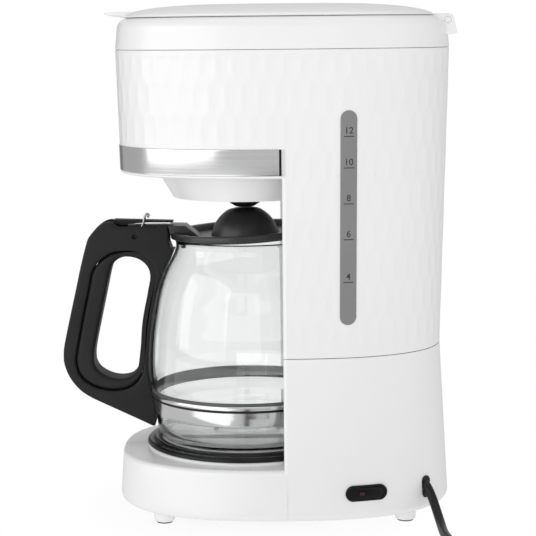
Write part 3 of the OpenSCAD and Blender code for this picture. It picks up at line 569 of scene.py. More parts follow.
# ---------------------------------------------------------------- housing
PATTERN_WIDTH = 10.7          # one cell of the relief, across
PATTERN_PITCH = 22.2          # from one row of cells to the next
PATTERN_SLANT = 4.6           # height of the slanted ends of a cell
PATTERN_ROW_Z = 299.2         # a line between two rows
PATTERN_DEPTH = 0.5
COLUMNS_PER_CELL = 8
ROWS_PER_PITCH = 12
MIDDLE_PLAN = plan_at(217.0)  # where a cell has just that width
CELLS = 2 * round(even_angles(MIDDLE_PLAN, 8)[1] / PATTERN_WIDTH / 2)
SHELL_ANGLES = even_angles(MIDDLE_PLAN, CELLS * COLUMNS_PER_CELL)[0]
HALF = len(SHELL_ANGLES) // 2
REAR = [j < HALF for j in range(len(SHELL_ANGLES))]
FRONT = [not rear for rear in REAR]


def fade(value, width):
    return ease(value, (0.0, width))


def relief(column, z):
    """Depth of the relief: rows of upright hexagons, staggered, each a shallow hollow."""
    apex = (PATTERN_PITCH + PATTERN_SLANT) / 2
    steep = 2 * PATTERN_SLANT
    row = (PATTERN_ROW_Z - z) / PATTERN_PITCH
    best = 9.0
    for k in (math.floor(row) - 1, math.floor(row), math.floor(row) + 1):
        across = column / COLUMNS_PER_CELL + 0.5 * (k % 2)
        dx = abs(across - round(across))
        dz = abs(z - (PATTERN_ROW_Z - (k + 0.5) * PATTERN_PITCH))
        best = min(best, max(2 * dx, (dz + steep * dx) / apex))
    return PATTERN_DEPTH * (1 - min(best, 1.0) ** 2)


WINDOW_Y, WINDOW_W = 57.5, 11.3
WINDOW_Z0, WINDOW_Z1 = 139.0, 280.0


def window_gap(p):
    """Distance of a point on the +X wall from the level window's edge."""
    if p[0] < 0:
        return 99.0
    along = min(max(p[2], WINDOW_Z0 + WINDOW_W / 2), WINDOW_Z1 - WINDOW_W / 2)
    return math.hypot(p[1] - WINDOW_Y, p[2] - along) - WINDOW_W / 2


def relief_share(p):
    """Where the relief shows: not beside seams, the band, the bay or the level window."""
    share = fade(p[2] - SEAM_Z - 2.5, 3.0) * fade(COLLAR_Z - 2.5 - p[2], 3.0)
    share *= fade(window_gap(p) - 2.6, 2.5)
    if p[1] < ARM_Y:
        share *= fade(p[2] - BAND_Z1 - 1.5, 2.5)
    else:
        share *= max(fade(p[1] - ARM_Y - 2.0, 3.0), fade(p[2] - BAND_Z1 - 1.5, 2.5))
    return share


def shell_row(z, inset=0.0, with_relief=False):
    """One ring of the housing's skin; the columns beside the bay lie exactly on its front edge."""
    plan = plan_at(z)
    angles = list(SHELL_ANGLES)
    angles[0] = angle_at_y(plan, ARM_Y + ARM_ROUND)
    angles[HALF] = angle_at_y(plan, ARM_Y + ARM_ROUND, right=False)
    row = []
    for column, t in enumerate(angles):
        p, normal = plan_point(plan, t, z, inset)
        if with_relief:
            p = p - normal * relief(column, z) * relief_share(p)
        row.append(p)
    return row


ARM_ROUND = 2.2               # rounding of the arms' outer front edges
BAY_ROUND = 1.2               # rounding of the arms' inner front edges
BAY_COLUMNS = 64


def bay_row(z):
    """The bay's face at one height: from the +X wall round the arm's front, the hollow and back."""
    right = plan_point(plan_at(z), angle_at_y(plan_at(z), ARM_Y + ARM_ROUND), z)[0]
    wall_x = right[0]
    points = [np.array((wall_x - ARM_ROUND * (1 - math.cos(a)), ARM_Y + ARM_ROUND * (1 - math.sin(a)), z))
              for a in np.linspace(0.0, math.pi / 2, 7)]
    edge_y = ARM_Y - JUG_Y
    edge_x = math.sqrt(BAY_R ** 2 - edge_y ** 2)
    points.append(np.array((edge_x + BAY_ROUND, ARM_Y, z)))
    turn = math.atan2(edge_y + BAY_ROUND, edge_x)
    points.append(np.array((edge_x + 0.3, ARM_Y + 0.25, z)))
    for a in np.linspace(turn, math.pi - turn, BAY_COLUMNS):
        points.append(np.array((BAY_R * math.cos(a), JUG_Y + BAY_R * math.sin(a), z)))
    mirrored = [p * np.array((-1, 1, 1)) for p in points[8::-1]]
    return points + mirrored


def disc_ring(build, z, hole_r, inset, flip=False):
    """A flat face from the outline in front of the tower, and the bay's circle, to a round hole."""
    plan = plan_at(z)
    start = angle_at_y(plan, ARM_Y)
    outer = [plan_point(plan, t, z, inset)[0] for t in np.linspace(start, -math.pi - start, 121)]
    turn = math.asin((ARM_Y - JUG_Y) / BAY_R)
    inner = [np.array((BAY_R * math.cos(a), JUG_Y + BAY_R * math.sin(a), z))
             for a in np.linspace(turn, -math.pi - turn, 121)]
    build.strip(build.add(outer), build.add(inner), flip=flip)
    ring = [build.add([np.array((r * math.cos(a), JUG_Y + r * math.sin(a), z))
                       for a in np.linspace(0, 2 * math.pi, 160, endpoint=False)]) for r in (BAY_R, hole_r)]
    build.strip(ring[0], ring[1], closed=True, flip=not flip)


def row_heights(low, high):
    count = max(2, round((high - low) / PATTERN_PITCH * ROWS_PER_PITCH))
    return list(np.linspace(low, high, count + 1))


HEAD_LIP = 1.6                # the head's rounded lower edge
BAND_SEAT = 0.9               # depth of the groove that the steel band lies in
HEAD_HOLE_R, DECK_HOLE_R = 62.0, 66.0


def upper_shell():
    build = Builder()
    # the tower under the head
    tower = [SEAM_Z + 0.2, SEAM_Z + 0.45, SEAM_Z + 0.9] + row_heights(SEAM_Z + 2.0, HEAD_Z)
    insets = [0.3, 0.08, 0.0] + [0.0] * (len(tower) - 3)
    build.strips([build.add(shell_row(z, i, True)) for z, i in zip(tower, insets)], closed=True, keep=REAR)
    build.grid([bay_row(z) for z in tower[::4] + [HEAD_Z + 1.0]])
    # the head
    levels = [(HEAD_Z, HEAD_LIP), (HEAD_Z + 0.25, HEAD_LIP * 0.45), (HEAD_Z + 0.8, HEAD_LIP * 0.12),
              (HEAD_Z + HEAD_LIP, 0.0), (BAND_Z0 - 0.15, 0.0), (BAND_Z0 - 0.1, BAND_SEAT),
              (BAND_Z1 + 0.1, BAND_SEAT)]
    levels += [(z, 0.0) for z in row_heights(BAND_Z1 + 0.2, COLLAR_Z - 1.2)]
    levels += [(COLLAR_Z - 0.4, 0.06), (COLLAR_Z - 0.15, 0.25), (COLLAR_Z, 0.9)]
    build.strips([build.add(shell_row(z, i, True)) for z, i in levels], closed=True)
    disc_ring(build, HEAD_Z, HEAD_HOLE_R, HEAD_LIP)
    # behind the bay's front edge the skin runs on past the lip and the band's seat
    behind = row_heights(HEAD_Z, BAND_Z1 + 0.2)
    build.strips([build.add(shell_row(z, 0.0, True)[:HALF + 1]) for z in behind])
    return build.make("upper_shell", 30.0, merge=0.01)


finish_piece(upper_shell(), WHITE, "housing", ["upper_housing"])


DECK_ROUND = 3.0              # rounding of the deck's front edge
UNDER_DECK_Z = DECK_Z - 3.2


def base_shell():
    build = Builder()
    foot = [SKIRT_Z + EDGE_R * (1 - math.cos(a)) for a in np.linspace(0.0, math.pi / 2, 8)]
    walls = foot + list(np.linspace(SKIRT_Z + EDGE_R, UNDER_DECK_Z, 8))[1:]
    rounding = [(DECK_Z - DECK_ROUND * (1 - math.sin(a)), DECK_ROUND * (1 - math.cos(a)))
                for a in np.linspace(0.0, math.pi / 2, 8)]
    levels = [(z, 0.0) for z in walls] + rounding
    low = [(SKIRT_Z + 0.5, 3.0)] + levels
    rows = [build.add(shell_row(z, i)) for z, i in low]
    build.strips(rows[:len(walls) + 1], closed=True)
    build.strips(rows[len(walls):], closed=True, keep=FRONT)
    top = [SEAM_Z - 0.9, SEAM_Z - 0.45, SEAM_Z - 0.15]
    tower = list(np.linspace(UNDER_DECK_Z, SEAM_Z - 2.0, 24)) + top
    insets = [0.0] * (len(tower) - 2) + [0.08, 0.3]
    build.strips([build.add(shell_row(z, i)[:HALF + 1]) for z, i in zip(tower, insets)])
    build.grid([bay_row(z) for z in [DECK_Z - 4.0] + tower[2::3] + [SEAM_Z - 0.1]])
    disc_ring(build, DECK_Z, DECK_HOLE_R, DECK_ROUND, flip=True)
    return build.make("base_shell", 30.0, merge=0.01)


finish_piece(base_shell(), WHITE, "housing", ["base_housing"])


# ---------------------------------------------------------------- band, collar and lid
EVEN_COLUMNS = 216


def plan_rows(build, columns, rows, closed=True):
    """A skin over rows of (plan, height, inset), each with a point at every one of the angles."""
    made = [build.add([plan_point(plan, t, z, inset)[0] for t in columns]) for plan, z, inset in rows]
    build.strips(made, closed)
    return made


BAND_PLAN = plan_at((BAND_Z0 + BAND_Z1) / 2)


def band_angle(behind=0.0):
    """Where the band ends on the +X side, or a point that far behind it."""
    return angle_at_y(BAND_PLAN, BAND_END_Y + behind)


def open_strip(build, columns, rows):
    """A strip along part of the outline, closed at both its ends."""
    made = plan_rows(build, columns, rows, closed=False)
    for end in (0, -1):
        build.cap([row[end] for row in made], flip=end == 0)


def head_band_piece():
    """The polished strip round the front of the head, 0.5 mm proud."""
    build = Builder()
    outside = [(BAND_Z0, 0.6), (BAND_Z0, -0.2), (BAND_Z0 + 0.1, -0.38), (BAND_Z0 + 0.35, -0.48),
               (BAND_Z0 + 0.8, -0.5), (BAND_Z1 - 0.8, -0.5), (BAND_Z1 - 0.35, -0.48),
               (BAND_Z1 - 0.1, -0.38), (BAND_Z1, -0.2), (BAND_Z1, 0.6)]
    open_strip(build, np.linspace(-math.pi - band_angle(), band_angle(), 220),
               [(plan_at(z), z, inset) for z, inset in outside])
    return build.make("steel_band", 30.0)


def band_end_shade_piece():
    """The thin black strips that close the band at both its ends: painted shade of the dark gap there."""
    build = Builder()
    near, far = band_angle(0.1), band_angle(1.5)
    outside = [(BAND_Z0, 0.8), (BAND_Z0, -0.3), (BAND_Z1, -0.3), (BAND_Z1, 0.8)]
    for first, last in ((near, far), (-math.pi - far, -math.pi - near)):
        open_strip(build, np.linspace(first, last, 4), [(BAND_PLAN, z, inset) for z, inset in outside])
    return build.make("band_end_shade", 30.0)


COLLAR_R = 7.6
COLLAR_PLAN = (86.6, 112.4, 15.9)
MOUTH_PLAN = (75.5, 100.8, 13.3)
EAR_X, EAR_W = 24.0, 6.0
PIN_END_R, PIN_HOLE_R, PIN_HOLE_DEPTH = 2.1, 2.6, 0.8
# The recess in the collar, between the ears
RECESS_LOW, RECESS_HIGH = (-EAR_X, HINGE_Y - 12.2, HINGE_Z - 7), (EAR_X, HINGE_Y + 18, HINGE_Z + 13)
EAR = [(116, 326.6), (124, 327.2), (132.2, 327.9), (133, 328.7), (131.4, 336), (130.4, 339.6), (129, 341),
       (119, 341.2), (117.6, 340.4), (116, 336)]


def cut_box(obj, low, high):
    """Cuts a box, given by two corners, out of a mesh object."""
    build = Builder()
    corners = (low[0], low[1]), (high[0], low[1]), (high[0], high[1]), (low[0], high[1])
    build.block(*[[(*c, z) for c in corners] for z in (low[2], high[2])])
    subtract(obj, build.make("cutter", None))


def cut_round(obj, y, z, radius, reach):
    """Cuts a round hole along X out of a mesh object."""
    build = Builder()
    build.block(*[[(x, *p) for p in circle(y, z, radius, 32)] for x in reach])
    subtract(obj, build.make("cutter", None))


def subtract(obj, cutter):
    cut = obj.modifiers.new("cut", "BOOLEAN")
    cut.operation = "DIFFERENCE"
    cut.solver = "EXACT"
    cut.object = cutter
    bpy.context.view_layer.update()
    graph = bpy.context.evaluated_depsgraph_get()
    mesh = bpy.data.meshes.new_from_object(obj.evaluated_get(graph))
    obj.modifiers.clear()
    obj.data = mesh
    bpy.data.objects.remove(cutter)
    mesh.shade_smooth()
    mesh.set_sharp_from_angle(angle=math.radians(32.0))


def collar_piece():
    build = Builder()
    columns = even_angles(COLLAR_PLAN, EVEN_COLUMNS)[0]
    foot = (TOP_PLAN[0] + 0.05, TOP_PLAN[1] + 0.05, TOP_PLAN[2])
    rows = [(foot, COLLAR_Z + z, inset) for z, inset in ((0.15, 0.9), (0.25, 0.25), (0.5, 0.05))]
    for a in np.linspace(0.0, math.pi / 2, 12):
        rows.append((COLLAR_PLAN, RIM_Z - COLLAR_R * (1 - math.sin(a)), COLLAR_R * (1 - math.cos(a))))
    rows += [(MOUTH_PLAN, RIM_Z, -0.6), (MOUTH_PLAN, RIM_Z - 0.2, -0.1), (MOUTH_PLAN, RIM_Z - 0.8, 0.0),
             (MOUTH_PLAN, COLLAR_Z + 0.15, 0.0)]
    made = plan_rows(build, columns, rows)
    build.strip(made[-1], made[0], closed=True)
    collar = build.make("collar_skin", 32.0)
    cut_box(collar, RECESS_LOW, RECESS_HIGH)
    ears = []
    for side in (-1, 1):
        face = side * (EAR_X + EAR_W)
        ear = flat_shape("ear", [EAR], EAR_W / 2, 0.7, middle_x=side * (EAR_X + EAR_W / 2))
        cut_round(ear, HINGE_Y, HINGE_Z, PIN_HOLE_R, (face - PIN_HOLE_DEPTH, face + PIN_HOLE_DEPTH))
        ears += [ear, flat_shape("pin_end", [circle(HINGE_Y, HINGE_Z, PIN_END_R, 28)], 0.7, 0.2,
                                 middle_x=face - side * 1.0)]
    return join("collar_skin", [collar] + ears)


LID_RISE = 8.4
# Height of the lid's crown as a share of its rise, for a share of the way in from the edge
LID_CROWN = [(0, 0.02), (0.008, 0.12), (0.03, 0.24), (0.1, 0.46), (0.25, 0.72), (0.5, 0.92), (0.8, 0.995),
             (1.0, 1.0)]
LIP_W = 46.0
# The lip's section: underside from the lid to the tip, and back over the top
LIP_UNDER = [(-84, 340.5), (-90, 340.6), (-93, 340.7), (-98, 341.3), (-102, 342.1), (-103.6, 342.5),
             (-104.2, 343.1)]
LIP_OVER = [(-103.9, 343.6), (-102.4, 343.9), (-98, 344.1), (-93, 344.3), (-88, 344.4), (-84, 344.2)]


def lid_levels(levels):
    """Rows for plan_rows() from (height over the rim, inset)."""
    return [((LID_PLAN[0] - i, LID_PLAN[1] - 1.1 * i, LID_PLAN[2]), RIM_Z + z, 0.0) for z, i in levels]


def lid_lip():
    """The lip that the fingers lift, with rounded front corners."""
    build = Builder()
    section = LIP_UNDER + LIP_OVER
    root = section[0][0]
    rows = []
    for i in range(33):
        across = -1 + 2 * i / 32
        reach = 1 - max(0.0, (abs(across) - 0.66) / 0.34) ** 2.6 * 0.42
        rows.append([(across * LIP_W / 2, root + (y - root) * reach, z) for y, z in section])
    made = build.grid(rows)
    build.cap(made[0])
    build.cap(made[-1], flip=True)
    return build.make("lid_lip", 50.0)


def lid_hinge_arm():
    barrel = [(HINGE_Y + 4.4 * math.cos(a), HINGE_Z + 4.4 * math.sin(a))
              for a in np.linspace(math.radians(90), math.radians(-170), 22)]
    outline = [(110, 341.4), (HINGE_Y, 341.4)] + barrel[1:] + [(115.2, 338.2), (115.2, 340.5), (110, 341.0)]
    return flat_shape("lid_arm", [outline], EAR_X - 0.4, 0.5)


def lid_piece():
    """The lid: a thin domed cover with a skirt inside the collar's mouth."""
    build = Builder()
    columns = even_angles(LID_PLAN, EVEN_COLUMNS)[0]
    skirt_in, skirt_out = 6.0, 8.0
    inside = lid_levels([(4.4, 44), (2.8, 26), (1.6, 14), (0.4, skirt_out), (-7.2, skirt_out),
                         (-7.5, skirt_out - 0.4), (-7.5, skirt_in + 0.4), (-7.2, skirt_in),
                         (0.2, skirt_in)])
    edge = lid_levels([(0.25, 1.6), (0.3, 0.9), (0.5, 0.25)])
    crown = lid_levels([(0.8 + LID_RISE * h, LID_PLAN[0] * share)
                        for share, h in curve_through(LID_CROWN, 3)])
    made = plan_rows(build, columns, inside + edge + crown[:-1])
    middle = (0.0, LID_PLAN[2], RIM_Z + 0.8 + LID_RISE)
    build.fan(made[-1], middle)
    build.fan(made[0], (0.0, LID_PLAN[2], RIM_Z + 5.4), flip=True)
    lid = build.make("lid_cover", 40.0)
    return join("lid_cover", [lid, lid_lip(), lid_hinge_arm()])


finish_piece(head_band_piece(), STEEL, "housing", ["head_band"])
finish_piece(band_end_shade_piece(), GLOSS_BLACK, "housing", ["band_trims"])
finish_piece(collar_piece(), WHITE, "housing", ["collar"])
finish_piece(lid_piece(), WHITE, "lid", ["brew_lid"])


# ---------------------------------------------------------------- plate, window and switch
RING_PROFILE = [(60.9, 42), (60.9, 49.2), (61.3, 49.6), (62.0, 49.1), (62.5, 48.7), (63.1, 49.4),
                (63.8, 49.75), (64.6, 49.7), (65.4, 49.3), (66.0, 48.5), (66.6, 48.1), (67.6, 48.1),
                (68.6, 47.9), (69.5, 47.4), (70.1, 46.6), (70.4, 45.6), (70.0, 44.9), (69.2, 44.7),
                (65.6, 44.7)]
STEP_PROFILE = [(65.8, 42.4), (65.8, 44.6), (68.9, 44.6), (69.4, 44.3), (69.6, 43.7), (69.9, 42.8),
                (70.4, 42.45)]


def wall_frame(y, z, upright=0.0):
    """A matrix for shapes on the +X wall: X to the back, Y up and Z out, in millimetres."""
    plan = plan_at(z)
    t = angle_at_y(plan, y)
    place, normal = plan_point(plan, t, z)
    turn = math.atan2(normal[1], normal[0])
    axes = Matrix(((0, 0, 1, 0), (1, 0, 0, 0), (0, 1, 0, 0), (0, 0, 0, 1)))
    return (Matrix.Translation(place) @ Matrix.Rotation(turn, 4, "Z")
            @ Matrix.Rotation(upright, 4, "Y") @ axes)


def stadium(length, width, height, upright=False, steps=20):
    """Points round a stadium at one height over the wall."""
    points = []
    for side in (1, -1):
        for a in np.linspace(-math.pi / 2, math.pi / 2, steps):
            x = side * ((length - width) / 2 + width / 2 * math.cos(a))
            y = side * width / 2 * math.sin(a)
            points.append((-y, x, height) if upright else (x, y, height))
    return points


def stadium_plate(name, place, length, width, levels, upright=False, capped=True):
    """A stadium-shaped plate from rows of (inset, height), or a rim where its last row stays open."""
    build = Builder()
    rows = [[place @ Vector(p) for p in stadium(length - 2 * inset, width - 2 * inset, height, upright)]
            for inset, height in levels]
    made = build.grid(rows, closed=True)
    if capped:
        build.cap(made[-1])
    return build.make(name, 40.0)


WINDOW_MID_Z = (WINDOW_Z0 + WINDOW_Z1) / 2
WALL_DRAFT = math.atan2(TOP_PLAN[0] - SEAM_PLAN[0], COLLAR_Z - SEAM_Z)
WINDOW_PLACE = wall_frame(WINDOW_Y, WINDOW_MID_Z, WALL_DRAFT)
WINDOW_LENGTH = WINDOW_Z1 - WINDOW_Z0
# The gauge's numbers and the heights at which they stand
GAUGE = {"12": 264.9, "10": 244.5, "8": 221.1, "6": 197.7, "4": 169.5}


def window_piece():
    levels = [(0.15, -2.4), (0.15, 0.25), (0.25, 0.45), (0.5, 0.58), (0.9, 0.6)]
    return stadium_plate("gauge_window", WINDOW_PLACE, WINDOW_LENGTH, WINDOW_W, levels, upright=True)


def number_mesh(text, size, centre):
    """A printed number with a line under it, on the gauge."""
    curve = bpy.data.curves.new("number", "FONT")
    curve.body = text
    curve.size = size
    curve.align_x = "CENTER"
    curve.extrude = 0.02
    curve.offset = 0.05
    holder = bpy.data.objects.new("number", curve)
    scene.collection.objects.link(holder)
    bpy.context.view_layer.update()
    mesh = bpy.data.meshes.new_from_object(holder.evaluated_get(bpy.context.evaluated_depsgraph_get()))
    bpy.data.objects.remove(holder)
    points = [WINDOW_PLACE @ (v.co + Vector((centre[0], centre[1], 0.62))) for v in mesh.vertices]
    faces = [tuple(p.vertices) for p in mesh.polygons]
    bpy.data.meshes.remove(mesh)
    half, under, thick = 3.3, 1.5, 0.6   # of the line under the number
    start = len(points)
    points += [WINDOW_PLACE @ Vector((centre[0] + x * half, centre[1] - under - dy * thick, 0.64))
               for x, dy in ((-1, 1), (1, 1), (1, 0), (-1, 0))]
    faces.append((start, start + 1, start + 2, start + 3))
    return make_mesh("gauge_number_" + text, points, faces, None)


SWITCH_Y, SWITCH_Z = 69.0, 26.3
SWITCH_L, SWITCH_W = 28.8, 10.8
SWITCH_PLACE = wall_frame(SWITCH_Y, SWITCH_Z)


def switch_well_piece():
    """The dark floor between the rocker and its frame."""
    return stadium_plate("switch_well", SWITCH_PLACE, SWITCH_L - 2.4, SWITCH_W - 2.4,
                         [(0.0, -1.0), (0.0, 0.3)])


def switch_frame_piece():
    levels = [(0.0, -6.0), (0.0, 0.35), (0.12, 0.58), (0.35, 0.7), (1.1, 0.7), (1.4, 0.55), (1.6, 0.2),
              (1.65, -5.5)]
    return stadium_plate("switch_rim", SWITCH_PLACE, SWITCH_L, SWITCH_W, levels, capped=False)


ROCKER_TILT = math.radians(6.0)
ROCKER_R, ROCKER_AXIS = 32.6, -30.4  # the rocker's face is part of a cylinder with its axis this deep


ROCKER_PIVOT = Matrix.Translation((0, 0, -3))
ROCKER_PLACE = SWITCH_PLACE @ ROCKER_PIVOT @ Matrix.Rotation(-ROCKER_TILT, 4, "Y") @ ROCKER_PIVOT.inverted()


def rocker_height(x):
    return ROCKER_AXIS + math.sqrt(ROCKER_R ** 2 - x * x)


def rocker_piece():
    """The rocker. The base shell's skin has no opening here, so the rocker's lower part passes through it."""
    build = Builder()
    length, width = SWITCH_L - 4.4, SWITCH_W - 3.6
    levels = [(0.0, -6.0), (0.0, -0.5), (0.12, -0.2), (0.4, 0.0)]
    for share in (0.7, 0.4, 0.1):
        levels.append((width / 2 * (1 - share), 0.0))
    rows = []
    for inset, drop in levels:
        row = []
        for x, y, _ in stadium(length - 2 * inset, width - 2 * inset, drop):
            row.append(ROCKER_PLACE @ Vector((x, y, drop if drop < -5 else rocker_height(x) + drop)))
        rows.append(row)
    made = build.grid(rows, closed=True)
    build.cap(made[-1])
    return build.make("rocker_key", 40.0)


def rocker_mark():
    """The faint mark on the end that is pressed for on."""
    build = Builder()
    x0, x1, half = -4.6, -1.4, 1.1
    row = [(x0, -half), (x1, -half), (x1, half), (x0, half)]
    build.cap(build.add([ROCKER_PLACE @ Vector((x, y, rocker_height(x) + 0.03)) for x, y in row]))
    return build.make("rocker_mark", None)


finish_piece(lathe("plate_trim", RING_PROFILE[::-1], closed_profile=True, smooth_angle=45.0),
             GLOSS_BLACK, "housing", ["plate_ring"])
finish_piece(lathe("plate_step", STEP_PROFILE[::-1], smooth_angle=50.0), WHITE, "housing")
finish_piece(window_piece(), LENS, "housing", ["level_window"])
for text, height in GAUGE.items():
    finish_piece(number_mesh(text, 6.0, (0.0, height - WINDOW_MID_Z)), INK, "housing")
finish_piece(switch_frame_piece(), GLOSS_BLACK, "housing", ["switch_frame"])
finish_piece(switch_well_piece(), GLOSS_BLACK, "housing")
finish_piece(rocker_piece(), GLOSS_BLACK, "switch", ["rocker_switch"])
finish_piece(rocker_mark(), MARK, "switch")


# ---------------------------------------------------------------- jug
GLASS_OUTER = [(0, 50.9), (20, 50.9), (23, 50.2), (27, 50), (56.5, 50), (59.5, 50.6), (61.8, 52.4),
               (62.8, 55.5), (63.3, 62), (64, 70), (65.2, 80), (66.4, 86), (67.4, 93), (67.7, 103),
               (67.1, 114), (66.1, 124), (64.5, 134), (62.7, 144), (60.4, 154), (58, 161), (55.2, 167.5),
               (52.2, 173), (49.5, 178.5), (48.2, 183), (48.4, 186.4), (49.4, 188.2)]
GLASS_T = 1.8
JUG_BAND_Z, BAND_TOP = 67.5, 84.5
LID_TILT = math.radians(2.7)


def glass_radius(z):
    wall = GLASS_OUTER[4:]
    return float(np.interp(z, [p[1] for p in wall], [p[0] for p in wall]))


def jug_glass_piece():
    outer = curve_through(GLASS_OUTER, 3)
    inner = [(0, 52.8), (30, 52.7), (54, 52.7), (58, 53.6), (60.2, 56.2)]
    inner += [(r - GLASS_T, z) for r, z in GLASS_OUTER[8:-1]]
    rim = [(48.3, 188.4), (48.8, 188.7), (49.3, 188.55)]
    profile = outer + [tuple(p) for p in rim[::-1]] + curve_through(inner, 3)[::-1]
    return lathe("jug_glass", profile, smooth_angle=60.0)


def jug_band_piece():
    low, high = JUG_BAND_Z, BAND_TOP
    ring = [(64.3, low), (64.9, low - 0.02), (65.15, low + 0.25), (65.9, low + 6.5), (66.5, high - 6.8),
            (66.3, high - 6.5), (66.3, high - 5.2), (67.0, high - 5.0), (67.3, high - 4.3),
            (67.3, high - 3), (67.0, high - 2.4), (66.6, high - 2.1), (66.5, high - 0.1),
            (66.2, high - 0.1), (65.0, low + 6)]
    band = lathe("jug_band", ring, closed_profile=True, smooth_angle=40.0)
    build = Builder()
    for side in (-1, 1):
        x = side * 2.6
        corners = [(x - 0.6, -86.6), (x + 0.6, -86.6), (x + 0.6, -77.1), (x - 0.6, -77.1)]
        build.block(*[[(*c, z) for c in corners] for z in (low + 0.5, high - 7)])
    return join("jug_band", [band, build.make("tabs", 30.0)])


def ring_piece(name, inner_r, outer_r, below, above):
    """A thin ring with rounded outer edges, from one depth below the steel band's top to another."""
    low, high = BAND_TOP - below, BAND_TOP - above
    profile = [(inner_r, low), (outer_r - 0.15, low), (outer_r, low + 0.15), (outer_r, high - 0.15),
               (outer_r - 0.15, high), (inner_r, high)]
    return lathe(name, profile, closed_profile=True, smooth_angle=40.0)


def glowing_lining_piece():
    """The pale lining between the glass and the lower part of its steel band; its material glows a little,
    which is painted light.
    """
    low = JUG_BAND_Z + 0.1
    profile = [(64.0, low), (64.25, low), (65.1, low + 8.4), (64.75, low + 8.4)]
    return lathe("glowing_band_lining", profile, closed_profile=True, smooth_angle=30.0)


# The handle's side outline from its top corner round the front to the clamp end
GRIP_OUTER = [(-98.4, 197.6), (-100.2, 198.9), (-102.2, 200.4), (-103.8, 201.1), (-106, 200.9),
              (-108.6, 200), (-111.4, 198.3), (-114.8, 195.4), (-117.8, 191.8), (-120.2, 187.2),
              (-124.6, 171), (-128.3, 155), (-132.2, 138.4), (-136.1, 121.5), (-137.8, 113),
              (-138.2, 107.4), (-138, 103), (-136.8, 98.2), (-134.4, 92.6), (-131.1, 87.6),
              (-126.1, 82.2), (-120.5, 78.4), (-115, 75.5), (-103.9, 70.2), (-92.8, 64.9), (-81.7, 59.6),
              (-76.8, 57.2), (-75, 57.6)]
KNUCKLE_R = 23.9
SLOT_X = 6.5                  # half the width of the slot that the lid's arm lies in
SLOT_LOW, SLOT_HIGH = (-SLOT_X, -109.5, 186.4), (SLOT_X, -39.5, 206.4)
PIN_RECESS_R = 1.9
# Top height, thickness and half width of the grey strip of painted shade beside the glass
EDGE_SHADE_TOP_Z, EDGE_SHADE_T, EDGE_SHADE_X = 181.5, 3.0, 7.0
HANDLE_X, INLAY_X = 12.0, 11.7  # half widths
GRIP_HOLE = [(-101.6, 172.8), (-98.6, 175.2), (-95, 176.6), (-91.4, 177), (-87, 176.9), (-82.9, 175.7),
             (-79.2, 172.8), (-76.6, 168.4), (-75.9, 163), (-77.7, 155), (-79.8, 146.5), (-81.6, 138),
             (-83.1, 129), (-83.9, 120), (-84.4, 111), (-84.8, 104), (-85.8, 99.4), (-88, 95.4),
             (-91, 92.4), (-95.4, 91), (-100.4, 90.8), (-105.2, 91.8), (-109.8, 93.8), (-113.8, 96.8),
             (-116.4, 101), (-117, 106), (-116.4, 112), (-114.6, 121), (-112.6, 130), (-110.6, 139),
             (-108.6, 148), (-106.4, 158), (-104.6, 166), (-103.2, 170.2)]
GRIP_INLAY = [(-105.6, 178.4), (-110.6, 174.8), (-114.8, 170.4), (-117.6, 164.6), (-119, 157.6),
              (-123.1, 139.4), (-126.6, 122.4), (-129.4, 108), (-129.6, 102), (-128.4, 96.4),
              (-125.6, 91.6), (-121, 87.6), (-115.4, 84.8), (-108.6, 83), (-101, 82.6), (-94.6, 83.8),
              (-89, 86.8), (-85, 91.6), (-83, 97.4), (-81, 111.4), (-79.6, 126), (-77.2, 141),
              (-74.6, 154.4), (-73.2, 162), (-73.7, 168), (-76.4, 173.4), (-81.4, 177.8), (-87.4, 180.2),
              (-93.7, 180.8), (-100, 180.4)]


def about_pin(radius, degrees):
    a = math.radians(degrees)
    return PIN_Y + radius * math.cos(a), PIN_Z + radius * math.sin(a)


def grip_inner():
    """The handle's side towards the jug, which stands further off beside the steel band."""
    points = []
    for z in [61, 64, 65.4, 65.6] + list(range(70, 85, 5)) + [84.4, 84.6] + list(range(88, 186, 7)):
        beside_band = z < BAND_TOP + 2
        points.append((JUG_Y - glass_radius(z) - (0.1 if beside_band else 0.7), z))
    return points


def handle_edge_shade_piece():
    """A grey strip of pad rubber between the handle and the glass: painted shade for the glass's dark edge
    there.
    """
    heights = list(np.linspace(BAND_TOP + 3, EDGE_SHADE_TOP_Z, 16))
    near = [(JUG_Y - glass_radius(z) - 0.15, z) for z in heights]
    far = [(JUG_Y - glass_radius(z) - EDGE_SHADE_T, z) for z in heights[::-1]]
    return flat_shape("handle_edge_shade", [near + far], EDGE_SHADE_X, 0.2)


def handle_pieces():
    top = [(JUG_Y - 52.6, 186.6)] + [about_pin(KNUCKLE_R, a) for a in range(0, 18, 4)] + [(-66.4, 197.6)]
    outline = curve_through(GRIP_OUTER, 3) + grip_inner() + top
    inlay = curve_through(GRIP_INLAY, 3, closed=True)
    frame_part = flat_shape("handle_frame", [outline, inlay], HANDLE_X, 1.6)
    cut_box(frame_part, SLOT_LOW, SLOT_HIGH)
    for side in (-1, 1):
        cut_round(frame_part, PIN_Y, PIN_Z, PIN_RECESS_R, (side * 12.5 - 3.0, side * 12.5 + 3.0))
    middle = np.mean(np.array(GRIP_INLAY), axis=0)
    inner_ring = [tuple(middle + (np.array(p) - middle) * 0.991) for p in GRIP_INLAY]
    grip = [curve_through(ring, 3, closed=True) for ring in (inner_ring, GRIP_HOLE)]
    grip_part = flat_shape("handle_grip", grip, INLAY_X, 3.2, resolution=8)
    return frame_part, grip_part


